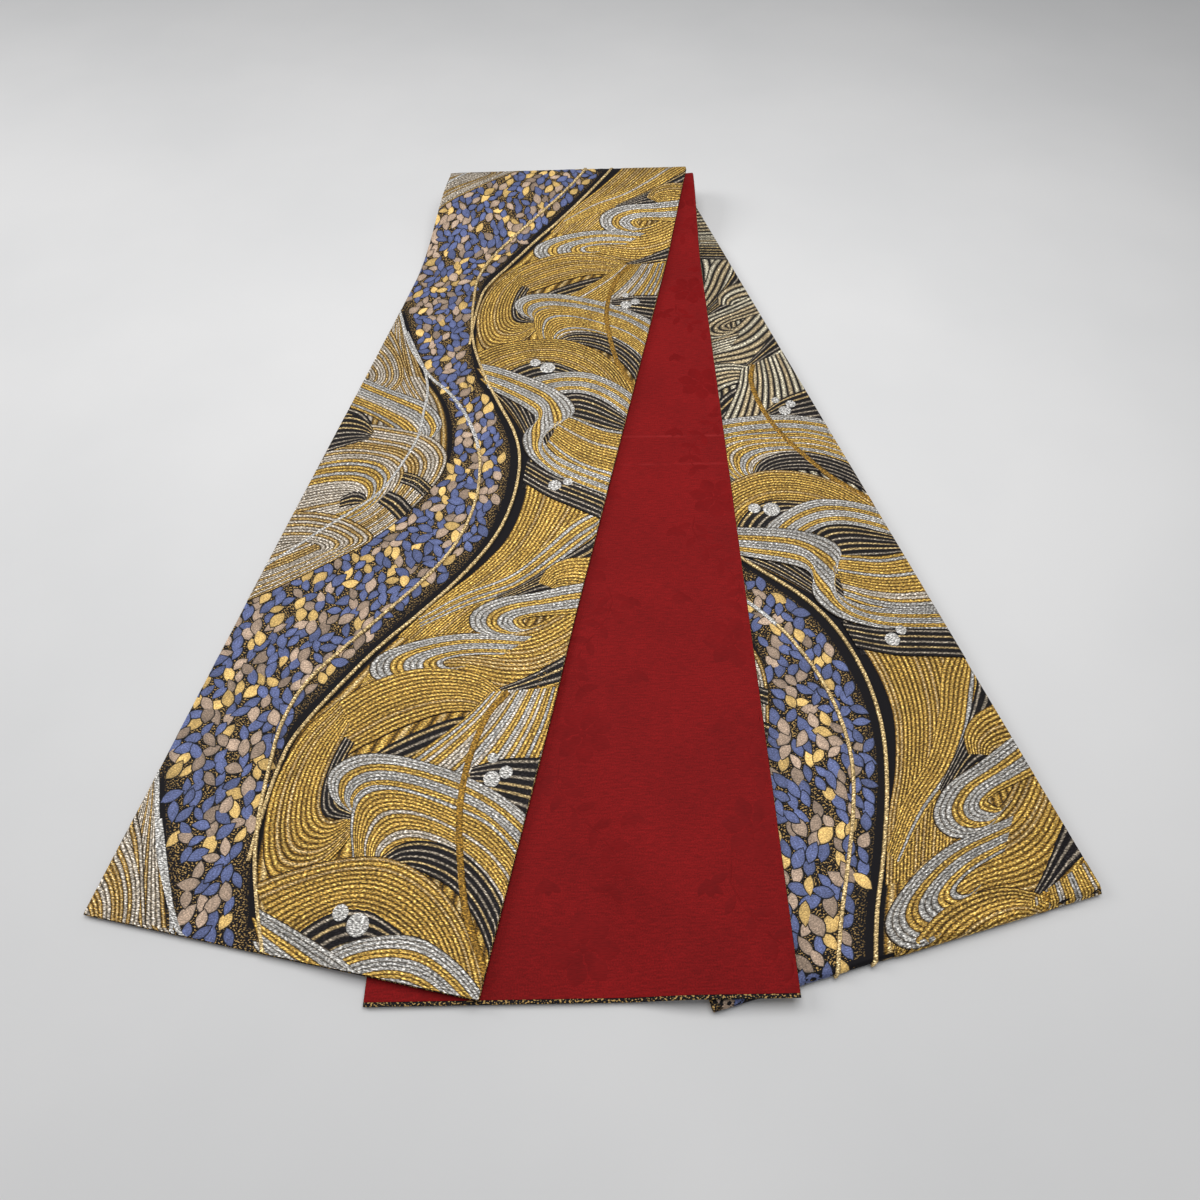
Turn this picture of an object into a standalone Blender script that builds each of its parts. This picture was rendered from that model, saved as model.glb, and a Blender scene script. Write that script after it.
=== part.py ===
"""Folded brocade sash: one long stiff strip, folded zigzag into four legs that fan out from the top.

Every leg is a sandwich of face cloth, stiff interlining and lining between two turned edges.
Three folds join the legs: the tall top fold (front leg to under leg), the inner fold (centre leg
to right leg) and the flat bottom fold (under leg to right leg). The two upper legs drape over the
edges of the legs beneath them and climb to the tall folds at the top.
"""

import math

import bmesh
import bpy
import numpy as np
from mathutils import Vector

# Driving dimensions, in metres and degrees.
STRIP_WIDTH = 0.310
FACE_THICKNESS = 0.0008
CORE_THICKNESS = 0.0010
LINING_THICKNESS = 0.0006
EDGE_WIDTH = 0.0024
HEM_WIDTH = 0.0040
FRONT_LEG_LENGTH = 1.037
CENTRE_LEG_LENGTH = 1.0115
RIGHT_LEG_LENGTH = 0.968
FRONT_LEG_TURN = -12.1
CENTRE_LEG_TURN = 0.0
RIGHT_LEG_TURN = 14.2
INNER_FOLD_SHIFT = 0.0095
INNER_FOLD_SETBACK = 0.004
FOLD_RISE = 0.031
RISE_RUN = 0.170
TOP_FOLD_DEPTH = 0.022
INNER_FOLD_DEPTH = 0.012
DRAPE_RUN = 0.060

# Clearances.
CLOTH_GAP = 0.0003
LEG_GAP = 0.0010
FLOOR_GAP = 0.0004
DRAPE_MARGIN = 0.004
FRONT_HINGE_LIFT = 0.0018
CENTRE_HINGE_LIFT = 0.0018

RISE_STEPS = 8
FOLD_STEPS = 12
ROUNDING = 0.25
TINY = 1e-5

LEG_THICKNESS = FACE_THICKNESS + CORE_THICKNESS + LINING_THICKNESS + 2 * CLOTH_GAP
LAYERS = {"face": FACE_THICKNESS, "core": CORE_THICKNESS, "lining": LINING_THICKNESS}

COLOURS = {
    "face": ((0.36, 0.25, 0.10, 1.0), 0.50, 0.35),
    "core": ((0.78, 0.74, 0.66, 1.0), 0.95, 0.0),
    "lining": ((0.28, 0.015, 0.02, 1.0), 0.70, 0.0),
    "edge": ((0.30, 0.20, 0.12, 1.0), 0.65, 0.1),
    "hem": ((0.25, 0.17, 0.09, 1.0), 0.65, 0.1),
}


def heading(turn):
    """Unit vector that runs down a leg; a positive turn swings its free end to the right."""
    angle = math.radians(turn)
    return Vector((math.sin(angle), -math.cos(angle)))


def leftwards(direction):
    """Unit vector across a leg, towards its left edge, for a leg that runs along direction."""
    return Vector((direction.y, -direction.x))


def crease_between(first, second):
    """Unit vector along a crease, towards the left, that folds a strip from first onto second."""
    return leftwards((first + second).normalized())


class Leg:
    """One flat run of the strip, from its start crease down to its end line."""

    def __init__(self, name, corner, end_corner, start_line, end_line, below, face_up):
        self.name = name
        self.corner = corner
        self.down = (end_corner - corner).normalized()
        self.left = leftwards(self.down)
        self.length = (end_corner - corner).length
        self.start_line = start_line
        self.end_line = end_line or self.left
        self.below = below
        self.face_up = face_up

    def point(self, across, start=None, end=None):
        """Point at a distance across the strip, measured down from its start or back from its end."""
        line = self.start_line if end is None else self.end_line
        slant = across * line.dot(self.down) / line.dot(self.left)
        along = slant + start if end is None else self.length + slant - end
        return self.corner + self.left * across + self.down * along

    def layer_bottoms(self):
        """Height of each cloth layer above the underside of the leg."""
        names = ["lining", "core", "face"] if self.face_up else ["face", "core", "lining"]
        bottoms = {}
        height = 0.0
        for name in names:
            bottoms[name] = height
            height += LAYERS[name] + CLOTH_GAP
        return bottoms


def fold_layout():
    """The four legs, from the lowest to the front one, and the crease directions by fold name."""
    front, centre, right = (heading(t) for t in (FRONT_LEG_TURN, CENTRE_LEG_TURN, RIGHT_LEG_TURN))
    top_corner = Vector((0.0, 0.0))
    inner_corner = Vector((INNER_FOLD_SHIFT, -INNER_FOLD_SETBACK))
    bottom_corner = inner_corner + right * RIGHT_LEG_LENGTH
    under = (bottom_corner - top_corner).normalized()
    creases = {
        "top": crease_between(front, under),
        "inner": crease_between(centre, right),
        "bottom": crease_between(under, right),
    }
    under_leg = Leg("under_leg", top_corner, bottom_corner, creases["top"], creases["bottom"], [], False)
    right_leg = Leg("right_leg", inner_corner, bottom_corner, creases["inner"], creases["bottom"],
                    [under_leg], True)
    centre_leg = Leg("centre_leg", inner_corner, inner_corner + centre * CENTRE_LEG_LENGTH,
                     creases["inner"], None, [under_leg, right_leg], False)
    front_leg = Leg("front_leg", top_corner, top_corner + front * FRONT_LEG_LENGTH,
                    creases["top"], None, [under_leg, right_leg, centre_leg], True)
    return under_leg, right_leg, centre_leg, front_leg, creases


UNDER_LEG, RIGHT_LEG, CENTRE_LEG, FRONT_LEG, CREASES = fold_layout()
FRONT_OF_TOP_FOLD = (FRONT_LEG.down + UNDER_LEG.down).normalized()


def rise(place):
    """Extra height of the upper legs, highest at the top fold and gone after RISE_RUN."""
    distance = place.dot(FRONT_OF_TOP_FOLD)
    knots = np.linspace(0.0, 1.0, RISE_STEPS + 1)
    heights = FOLD_RISE * (1.0 - knots * knots * (3.0 - 2.0 * knots))
    return float(np.interp(distance, knots * RISE_RUN, heights))


def underside(leg, place):
    """Height of a leg's underside: one leg thickness for each leg below, sloping off past its edge."""
    height = 0.0
    for lower in leg.below:
        outside = (place - lower.corner).dot(lower.left) - STRIP_WIDTH
        cover = 1.0 - (outside - DRAPE_MARGIN) / DRAPE_RUN
        height += (LEG_THICKNESS + LEG_GAP) * min(max(cover, 0.0), 1.0)
    if leg in (CENTRE_LEG, FRONT_LEG):
        height += FLOOR_GAP + rise(place)
    return height


def cut_lines(leg):
    """Lines, each a point and a normal, along which the slope of a leg's underside changes."""
    lines = []
    for lower in leg.below:
        for offset in (DRAPE_MARGIN, DRAPE_MARGIN + DRAPE_RUN):
            lines.append((lower.corner + lower.left * (STRIP_WIDTH + offset), lower.left))
    if leg in (CENTRE_LEG, FRONT_LEG):
        for step in range(RISE_STEPS + 1):
            lines.append((FRONT_OF_TOP_FOLD * (RISE_RUN * step / RISE_STEPS), FRONT_OF_TOP_FOLD))
    return lines


def new_material(name, kind):
    """Plain principled material of one cloth."""
    colour, roughness, metallic = COLOURS[kind]
    material = bpy.data.materials.new(name)
    material.use_nodes = True
    shader = material.node_tree.nodes["Principled BSDF"]
    shader.inputs["Base Color"].default_value = colour
    shader.inputs["Roughness"].default_value = roughness
    shader.inputs["Metallic"].default_value = metallic
    return material


def add_object(name, kind, bm, hinge=None):
    """Turn a bmesh into a named object with its material, carried by its hinge if it has one."""
    bmesh.ops.recalc_face_normals(bm, faces=bm.faces)
    mesh = bpy.data.meshes.new(name)
    bm.to_mesh(mesh)
    bm.free()
    mesh.materials.append(new_material(name + "_cloth", kind))
    piece = bpy.data.objects.new(name, mesh)
    bpy.data.collections["folded_sash"].objects.link(piece)
    if hinge is not None:
        piece.parent = hinge
        piece.matrix_parent_inverse = hinge.matrix_world.inverted()
    return piece


def draped_slab(name, kind, leg, corners, bottom, thickness, hinge=None, rim=None):
    """Slab on an outline of corners that follows the underside of its leg.

    The outline is cut wherever the slope changes, so the slab is made of exact planes. A rim gives
    the distance from the outer line, along which the slab is thinned to a rounded-off edge.
    """
    bm = bmesh.new()
    bm.faces.new([bm.verts.new((corner.x, corner.y, 0.0)) for corner in corners])
    for point, normal in cut_lines(leg):
        geometry = bm.verts[:] + bm.edges[:] + bm.faces[:]
        bmesh.ops.bisect_plane(bm, geom=geometry, dist=TINY, plane_co=(point.x, point.y, 0.0),
                               plane_no=(normal.x, normal.y, 0.0))
    extruded = bmesh.ops.extrude_face_region(bm, geom=bm.faces[:])
    upper = {item for item in extruded["geom"] if isinstance(item, bmesh.types.BMVert)}
    for vert in bm.verts:
        place = vert.co.xy
        height = underside(leg, place) + bottom
        trim = thickness * ROUNDING if rim is not None and abs(rim(place)) < TINY else 0.0
        vert.co.z = height + thickness - trim if vert in upper else height + trim
    return add_object(name, kind, bm, hinge)


def band(leg, across, start, end):
    """Outline of the part of a leg between two distances across and two end clearances."""
    low, high = across
    return [leg.point(low, start=start), leg.point(high, start=start),
            leg.point(high, end=end), leg.point(low, end=end)]


def leg_cloth(leg, hinge):
    """Face, core and lining of a leg, between its turned edges and short of its creases."""
    side = EDGE_WIDTH + CLOTH_GAP
    end = HEM_WIDTH + CLOTH_GAP if hinge is not None else CLOTH_GAP
    outline = band(leg, (side, STRIP_WIDTH - side), CLOTH_GAP, end)
    for layer, bottom in leg.layer_bottoms().items():
        draped_slab(f"{leg.name}_{layer}", layer, leg, outline, bottom, LAYERS[layer], hinge)


def leg_edges(leg, hinge):
    """The turned-in side edges, where the face cloth wraps the core and meets the lining."""
    end = HEM_WIDTH + CLOTH_GAP if hinge is not None else CLOTH_GAP
    sides = {
        "right": (0.0, (0.0, EDGE_WIDTH)),
        "left": (STRIP_WIDTH, (STRIP_WIDTH - EDGE_WIDTH, STRIP_WIDTH)),
    }
    for side, (outer, across) in sides.items():
        def rim(place, outer=outer):
            return (place - leg.corner).dot(leg.left) - outer
        outline = band(leg, across, CLOTH_GAP, end)
        draped_slab(f"{leg.name}_{side}_edge", "edge", leg, outline, 0.0, LEG_THICKNESS, hinge, rim)


def leg_hem(leg, hinge):
    """The closed end hem across the full width of a free end."""
    def rim(place):
        return (place - leg.corner).dot(leg.down) - leg.length
    corners = [leg.point(0.0, end=HEM_WIDTH), leg.point(STRIP_WIDTH, end=HEM_WIDTH),
               leg.point(STRIP_WIDTH, end=0.0), leg.point(0.0, end=0.0)]
    draped_slab(f"{leg.name}_end_hem", "hem", leg, corners, 0.0, LEG_THICKNESS, hinge, rim)


def fold_layer(name, kind, ends, outward, depth, inset, thickness):
    """One cloth layer of a fold: half an elliptic ring, lofted from the right end to the left end.

    Each end is its place on the crease and the heights of the fold's lowest and highest surface.
    The layer lies inset inside that surface.
    """
    bm = bmesh.new()
    rings = []
    for place, low, high in ends:
        walls = []
        for skin in (inset, inset + thickness):
            reach, half = depth - skin, (high - low) / 2 - skin
            angles = [math.pi * (step / FOLD_STEPS - 0.5) for step in range(FOLD_STEPS + 1)]
            flat = [place + outward * (reach * math.cos(angle)) for angle in angles]
            walls.append([bm.verts.new((p.x, p.y, (low + high) / 2 + half * math.sin(angle)))
                          for p, angle in zip(flat, angles)])
        rings.append(walls)
    (outer_a, inner_a), (outer_b, inner_b) = rings
    for step in range(FOLD_STEPS):
        pair = slice(step, step + 2)
        bm.faces.new(outer_a[pair] + outer_b[pair][::-1])
        bm.faces.new(inner_a[pair] + inner_b[pair][::-1])
        bm.faces.new(outer_a[pair] + inner_a[pair][::-1])
        bm.faces.new(outer_b[pair] + inner_b[pair][::-1])
    for step in (0, FOLD_STEPS):
        bm.faces.new([outer_a[step], inner_a[step], inner_b[step], outer_b[step]])
    add_object(name, kind, bm)


def fold(name, lower, upper, at_end, outward, depth, outer_layer):
    """The three cloth layers of a fold between a lower and an upper leg."""
    ends = []
    for across in (0.0, STRIP_WIDTH):
        place = lower.point(across, end=0.0) if at_end else upper.point(across, start=0.0)
        low = underside(lower, place)
        high = underside(upper, place) + LEG_THICKNESS
        ends.append((place, low, high))
    order = ["face", "core", "lining"] if outer_layer == "face" else ["lining", "core", "face"]
    inset = 0.0
    for layer in order:
        fold_layer(f"{name}_{layer}", layer, ends, outward, depth, inset, LAYERS[layer])
        inset += LAYERS[layer] + CLOTH_GAP


def hinge_empty(name, leg, lift):
    """Empty on the line that a leg turns about, just above its upper surface along the crease."""
    ends = []
    for across in (0.0, STRIP_WIDTH):
        place = leg.point(across, start=0.0)
        ends.append(Vector((place.x, place.y, underside(leg, place) + LEG_THICKNESS + lift)))
    empty = bpy.data.objects.new(name, None)
    empty.location = (ends[0] + ends[1]) / 2
    empty.rotation_mode = "QUATERNION"
    empty.rotation_quaternion = (ends[1] - ends[0]).to_track_quat("X", "Z")
    bpy.data.collections["folded_sash"].objects.link(empty)
    bpy.context.view_layer.update()
    return empty


def centre_on_floor(pieces, hinges):
    """Move the layout so that the middle of its footprint is the origin."""
    corners = [v.co for piece in pieces for v in piece.data.vertices]
    middle = Vector([(min(c[i] for c in corners) + max(c[i] for c in corners)) / 2 for i in range(2)] + [0.0])
    for piece in pieces:
        if piece.parent is None:
            piece.location -= middle
    for hinge in hinges:
        hinge.location -= middle


def main():
    """Build the legs and folds, hang the moving legs on their hinges and centre the sash."""
    for old in list(bpy.data.objects):
        bpy.data.objects.remove(old, do_unlink=True)
    collection = bpy.data.collections.new("folded_sash")
    bpy.context.scene.collection.children.link(collection)
    hinges = {
        "front_leg": hinge_empty("front_leg_hinge", FRONT_LEG, FRONT_HINGE_LIFT),
        "centre_leg": hinge_empty("centre_leg_hinge", CENTRE_LEG, CENTRE_HINGE_LIFT),
    }
    for leg in (UNDER_LEG, RIGHT_LEG, CENTRE_LEG, FRONT_LEG):
        hinge = hinges.get(leg.name)
        leg_cloth(leg, hinge)
        leg_edges(leg, hinge)
        if hinge is not None:
            leg_hem(leg, hinge)
    back_of_inner_fold = -(CENTRE_LEG.down + RIGHT_LEG.down).normalized()
    front_of_bottom_fold = (UNDER_LEG.down + RIGHT_LEG.down).normalized()
    fold("top_fold", UNDER_LEG, FRONT_LEG, False, -FRONT_OF_TOP_FOLD, TOP_FOLD_DEPTH, "face")
    fold("inner_fold", RIGHT_LEG, CENTRE_LEG, False, back_of_inner_fold, INNER_FOLD_DEPTH, "lining")
    flat_depth = (2 * LEG_THICKNESS + LEG_GAP) / 2
    fold("bottom_fold", UNDER_LEG, RIGHT_LEG, True, front_of_bottom_fold, flat_depth, "face")
    pieces = [item for item in collection.objects if item.type == "MESH"]
    centre_on_floor(pieces, hinges.values())


if __name__ == "__main__":
    main()
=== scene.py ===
"""Folded brocade sash, dressed: woven cloth, damask lining and raised metal-thread pattern.

The sash is one long strip in three runs. Each run is a smooth surface over a flat layout, and every
piece, from the cloth to a single petal, is drawn in strip coordinates (across, along) and then laid
on that surface. The front and centre runs each go round one of the two folds that can open.
"""

from __future__ import annotations

import logging
import math
from dataclasses import dataclass, field
from enum import Enum

import bpy
import numpy as np
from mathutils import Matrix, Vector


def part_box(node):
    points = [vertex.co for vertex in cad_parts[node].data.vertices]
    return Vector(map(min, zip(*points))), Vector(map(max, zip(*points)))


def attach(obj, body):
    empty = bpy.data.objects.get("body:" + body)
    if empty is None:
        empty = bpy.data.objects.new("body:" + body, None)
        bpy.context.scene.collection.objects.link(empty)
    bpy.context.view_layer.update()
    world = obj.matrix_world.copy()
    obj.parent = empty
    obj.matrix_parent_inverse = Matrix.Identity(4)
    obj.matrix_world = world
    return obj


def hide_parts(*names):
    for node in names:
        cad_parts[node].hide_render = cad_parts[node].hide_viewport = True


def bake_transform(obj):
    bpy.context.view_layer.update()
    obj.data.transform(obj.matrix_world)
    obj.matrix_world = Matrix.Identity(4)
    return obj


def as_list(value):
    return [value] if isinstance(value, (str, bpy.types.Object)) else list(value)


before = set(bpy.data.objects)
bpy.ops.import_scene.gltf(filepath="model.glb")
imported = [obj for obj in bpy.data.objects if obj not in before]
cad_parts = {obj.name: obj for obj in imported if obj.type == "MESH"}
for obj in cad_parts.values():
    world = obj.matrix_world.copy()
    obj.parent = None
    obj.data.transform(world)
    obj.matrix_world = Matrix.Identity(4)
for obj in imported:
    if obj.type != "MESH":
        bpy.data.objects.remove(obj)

LOG = logging.getLogger("sash")
Array = np.ndarray
Points = list[tuple[float, float]]
CM = 0.01
MM = 0.001
BAND_PERIOD = 0.314  # distance between the bands of a wave texture of scale one


class Body(Enum):
    """The bodies that a run can name; only pieces of the root are attached to their body."""

    ROOT = "root"
    FRONT = "front_leg"
    CENTRE = "centre_leg"


class Part(Enum):
    """The stretch of a run that a pattern covers."""

    FACE = "face"
    BENEATH = "beneath"


class Weave(Enum):
    """The thread schemes that a wave of the pattern can be woven in."""

    GOLD = "gold"
    BROAD = "broad"
    SILVER_EDGE = "silver_edge"
    MIXED = "mixed"
    CREAM = "cream"
    NIGHT = "night"
    PALE_NIGHT = "pale_night"


# ---------------------------------------------------------------------------------------------
# Geometry of the folded strip
# ---------------------------------------------------------------------------------------------


def ease(value: Array) -> Array:
    """Smooth step from 0 to 1 with level ends.

    Args:
        value: any numbers; they are limited to 0 to 1 first.

    Returns:
        3 t squared minus 2 t cubed.
    """
    t = np.clip(value, 0.0, 1.0)
    return t * t * (3.0 - 2.0 * t)


def heading(turn: float) -> Array:
    """Unit vector down a leg.

    Args:
        turn: degrees from straight down; positive swings the free end to the right.

    Returns:
        The vector's x and y.
    """
    angle = math.radians(turn)
    return np.array([math.sin(angle), -math.cos(angle)])


def leftwards(direction: Array) -> Array:
    """Unit vector to the left edge of a leg that runs along direction."""
    return np.array([direction[1], -direction[0]])


@dataclass
class Leg:
    """One flat run of the strip in plan.

    The right corner of its start crease is its own origin. Along is measured down the leg from
    there, and across from its left edge.
    """

    name: str
    corner: Array
    down: Array
    length: float
    start_line: Array
    end_line: Array
    width: float

    @property
    def left(self) -> Array:
        """Unit vector across the leg, to the left."""
        return leftwards(self.down)

    def start(self, across: Array) -> Array:
        """Along-coordinate of the start crease at each place across."""
        line = self.start_line
        return (self.width - across) * (line @ self.down) / (line @ self.left)

    def end(self, across: Array) -> Array:
        """Along-coordinate of the end line at each place across."""
        line = self.end_line
        return self.length + (self.width - across) * (line @ self.down) / (line @ self.left)

    def plan(self, across: Array, along: Array) -> Array:
        """Plan position of strip coordinates: corner + left (width - across) + down along."""
        side = (self.width - across)[..., None] * self.left
        return self.corner + side + along[..., None] * self.down

    def outside(self, place: Array) -> Array:
        """Distance of plan positions beyond the left edge, negative on the leg."""
        return (place - self.corner) @ self.left - self.width


@dataclass
class Layout:
    """The folded strip: four legs, their creases and the height of each above the floor."""

    width: float = 0.310
    thickness: float = 3.0 * MM
    leg_gap: float = 1.0 * MM
    floor_gap: float = 0.4 * MM
    front_turn: float = -12.1
    right_turn: float = 14.2
    front_length: float = 1.037
    centre_length: float = 1.0115
    right_length: float = 0.968
    inner_shift: float = 9.5 * MM
    inner_setback: float = 4.0 * MM
    fold_rise: float = 31.0 * MM
    rise_run: float = 0.170
    drape_margin: float = 4.0 * MM
    drape_run: float = 60.0 * MM
    top_depth: float = 22.0 * MM
    inner_depth: float = 12.0 * MM
    legs: dict[str, Leg] = field(init=False)
    creases: dict[str, Array] = field(init=False)

    def __post_init__(self) -> None:
        """Work out the corners and creases, and move them onto the frame's own corners."""
        front, centre, right = heading(self.front_turn), heading(0.0), heading(self.right_turn)
        top, inner = np.zeros(2), np.array([self.inner_shift, -self.inner_setback])
        bottom = inner + right * self.right_length
        under_length = float(np.linalg.norm(bottom - top))
        under = (bottom - top) / under_length
        self.creases = {
            "top": self._crease(front, under),
            "inner": self._crease(centre, right),
            "bottom": self._crease(under, right),
        }
        rows = (
            ("under_leg", top, under, under_length, "top", self.creases["bottom"]),
            ("right_leg", inner, right, self.right_length, "inner", self.creases["bottom"]),
            ("centre_leg", inner, centre, self.centre_length, "inner", leftwards(centre)),
            ("front_leg", top, front, self.front_length, "top", leftwards(front)),
        )
        self.legs = {
            name: Leg(name, corner, down, length, self.creases[crease], end_line, self.width)
            for name, corner, down, length, crease, end_line in rows
        }
        move = self._to_frame()
        for leg in self.legs.values():
            leg.corner = leg.corner + move

    @staticmethod
    def _crease(first: Array, second: Array) -> Array:
        """Unit vector along the crease that folds a strip from first onto second."""
        middle = first + second
        return leftwards(middle / np.linalg.norm(middle))

    def _to_frame(self) -> Array:
        """Offset that puts the two free hems where the frame has them.

        Returns:
            The offset's x and y.
        """
        front, centre = self.legs["front_leg"], self.legs["centre_leg"]
        edge = np.array([0.0])
        left_end = front.plan(edge, front.end(edge))[0]
        low_end = centre.plan(edge, centre.end(edge))[0]
        return np.array([
            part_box("front_leg_end_hem")[0][0] - left_end[0],
            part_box("centre_leg_end_hem")[0][1] - low_end[1],
        ])

    @property
    def front_of_top(self) -> Array:
        """Unit vector square to the top crease, away from the fold."""
        middle = self.legs["front_leg"].down + self.legs["under_leg"].down
        return middle / np.linalg.norm(middle)

    @property
    def front_of_inner(self) -> Array:
        """Unit vector square to the inner crease, away from the fold."""
        middle = self.legs["centre_leg"].down + self.legs["right_leg"].down
        return middle / np.linalg.norm(middle)

    @property
    def front_of_bottom(self) -> Array:
        """Unit vector square to the bottom crease, out of the fold."""
        middle = self.legs["under_leg"].down + self.legs["right_leg"].down
        return middle / np.linalg.norm(middle)

    def rise(self, place: Array) -> Array:
        """Extra height of the two upper legs: an eased slope up to the top crease."""
        distance = (place - self.legs["front_leg"].corner) @ self.front_of_top
        return self.fold_rise * (1.0 - ease(distance / self.rise_run))

    def ripple(self, place: Array) -> Array:
        """Faint waves that every layer shares, three crossed sines that never go below zero.

        Args:
            place: plan positions, with x and y last.

        Returns:
            Heights of 0 to 1.5 mm.
        """
        x, y = place[..., 0], place[..., 1]
        waves = np.sin(9.0 * x + 5.0 * y) + np.sin(13.0 * y - 6.0 * x + 1.0) + np.sin(21.0 * x + 2.0)
        return 0.25 * MM * (waves + 3.0)

    def underside(self, name: str, place: Array) -> Array:
        """Height of a leg's underside over plan positions.

        Each leg beneath lifts it by a leg thickness and a gap; past that leg's left edge the lift
        eases away. The two upper legs also climb to the tall fold.

        Args:
            name: the leg.
            place: plan positions, with x and y last.

        Returns:
            Heights above the floor.
        """
        order = list(self.legs)
        height = np.zeros(place.shape[:-1])
        for lower in order[: order.index(name)]:
            past = self.legs[lower].outside(place) - self.drape_margin
            height = height + (self.thickness + self.leg_gap) * (1.0 - ease(past / self.drape_run))
        if name in ("centre_leg", "front_leg"):
            height = height + self.floor_gap + self.rise(place) + self.ripple(place)
        return height


@dataclass
class Run:
    """A stretch of the strip with one smooth surface: an upper leg and the fold at one end of it.

    Depth is measured down from the outer surface of the upper leg, and follows the cloth round the
    fold, where it points inwards.
    """

    layout: Layout
    leg: Leg
    lower: Leg
    outward: Array
    depth: float
    fold_at_end: bool
    low: float

    def crease_height(self, across: Array) -> Array:
        """Height of the outer surface along the fold's crease.

        Args:
            across: distance from the strip's left edge.

        Returns:
            Heights above the floor.
        """
        along = self.leg.end(across) if self.fold_at_end else self.leg.start(across)
        place = self.leg.plan(across, along)
        return self.layout.underside(self.leg.name, place) + self.layout.thickness

    def fold_length(self) -> float:
        """Length of cloth round the fold: half of an ellipse of the fold's depth and half height."""
        half = float(self.crease_height(np.array([self.layout.width / 2]))[0] - self.low) / 2
        return math.pi * math.sqrt((self.depth**2 + half**2) / 2)

    def surface(self, across: Array, along: Array, depth: Array | float = 0.0) -> Array:
        """Points of the run in space.

        On the leg the height is underside + thickness - depth. Past the crease the point goes round
        half an ellipse, and past a fold at the end of the leg it runs back along the leg beneath.

        Args:
            across: distance from the strip's left edge.
            along: distance down the leg.
            depth: distance below the outer surface.

        Returns:
            An array of positions with x, y and z last.
        """
        across, along, depth = np.broadcast_arrays(
            np.asarray(across, float), np.asarray(along, float), np.asarray(depth, float))
        crease = self.leg.end(across) if self.fold_at_end else self.leg.start(across)
        past = along - crease if self.fold_at_end else crease - along
        flat = self.leg.plan(across, along)
        height = self.layout.underside(self.leg.name, flat) + self.layout.thickness - depth
        top = self.crease_height(across)
        middle, half = (top + self.low) / 2, (top - self.low) / 2
        length = self.fold_length()
        angle = math.pi * (0.5 - np.clip(past / length, 0.0, 1.0))
        root = self.leg.plan(across, crease)
        bend = root + self.outward * ((self.depth - depth) * np.cos(angle))[..., None]
        bend_height = middle + (half - depth) * np.sin(angle)
        back = self.lower.plan(across, self.lower.end(across) - (past - length))
        folded = (past > 0)[..., None]
        beneath = ((past > length) & self.fold_at_end)[..., None]
        plan = np.where(beneath, back, np.where(folded, bend, flat))
        level = np.where(beneath[..., 0], self.low + depth, np.where(folded[..., 0], bend_height, height))
        return np.concatenate([plan, level[..., None]], axis=-1)


# ---------------------------------------------------------------------------------------------
# Mesh helpers
# ---------------------------------------------------------------------------------------------


def grid_quads(rows: int, columns: int, closed: bool = False) -> Array:
    """Corner numbers of a grid's quads.

    Args:
        rows: number of point rows.
        columns: number of points in a row.
        closed: whether the last column joins the first.

    Returns:
        One row of four numbers for each quad.
    """
    count = columns if closed else columns - 1
    r, c = np.meshgrid(np.arange(rows - 1), np.arange(count), indexing="ij")
    n = (c + 1) % columns
    quads = np.stack([r * columns + c, r * columns + n, (r + 1) * columns + n, (r + 1) * columns + c])
    return quads.reshape(4, -1).T


def capped_rings(rings: int, columns: int) -> Array:
    """Quads of nested closed rings, with the last ring filled by a strip of quads.

    Args:
        rings: number of rings, outermost first.
        columns: an even number of points in each ring.

    Returns:
        One row of four numbers for each quad.
    """
    first = np.arange(columns // 2 - 1)
    cap = np.stack([first, first + 1, columns - 2 - first, columns - 1 - first], axis=1)
    return np.concatenate([grid_quads(rings, columns, closed=True), cap + (rings - 1) * columns])


def copies(faces: Array, count: int, step: int) -> Array:
    """Corner numbers of equal patches whose points follow one another."""
    return (faces[None] + (np.arange(count) * step)[:, None, None]).reshape(-1, 4)


def leaf_rings(length: Array, width: Array, grown: Array, rim: float) -> Array:
    """Nested outlines of pointed leaves about their own centres.

    The half width at a share t along a leaf is sin(pi t) to the power 0.8. A ring is the outline
    scaled by its share, and the first is grown by a rim of even breadth.

    Args:
        length: length of each leaf.
        width: greatest width of each leaf.
        grown: share of each ring after the first.
        rim: breadth of the first ring beyond the leaf.

    Returns:
        Positions, with leaf, ring, point and coordinate as axes.
    """
    half = np.linspace(0.0, 1.0, LEAF_POINTS // 2 + 1)
    profile = np.sin(math.pi * half) ** 0.8
    outline = np.stack([np.concatenate([profile, -profile[-2:0:-1]]) / 2,
                        np.concatenate([half, half[-2:0:-1]]) - 0.5], axis=-1)
    size = np.stack([width, length], axis=-1)
    scales = np.concatenate([(size + 2 * rim)[:, None], size[:, None] * grown[None, :, None]], axis=1)
    return outline[None, None] * scales[:, :, None]


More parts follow.
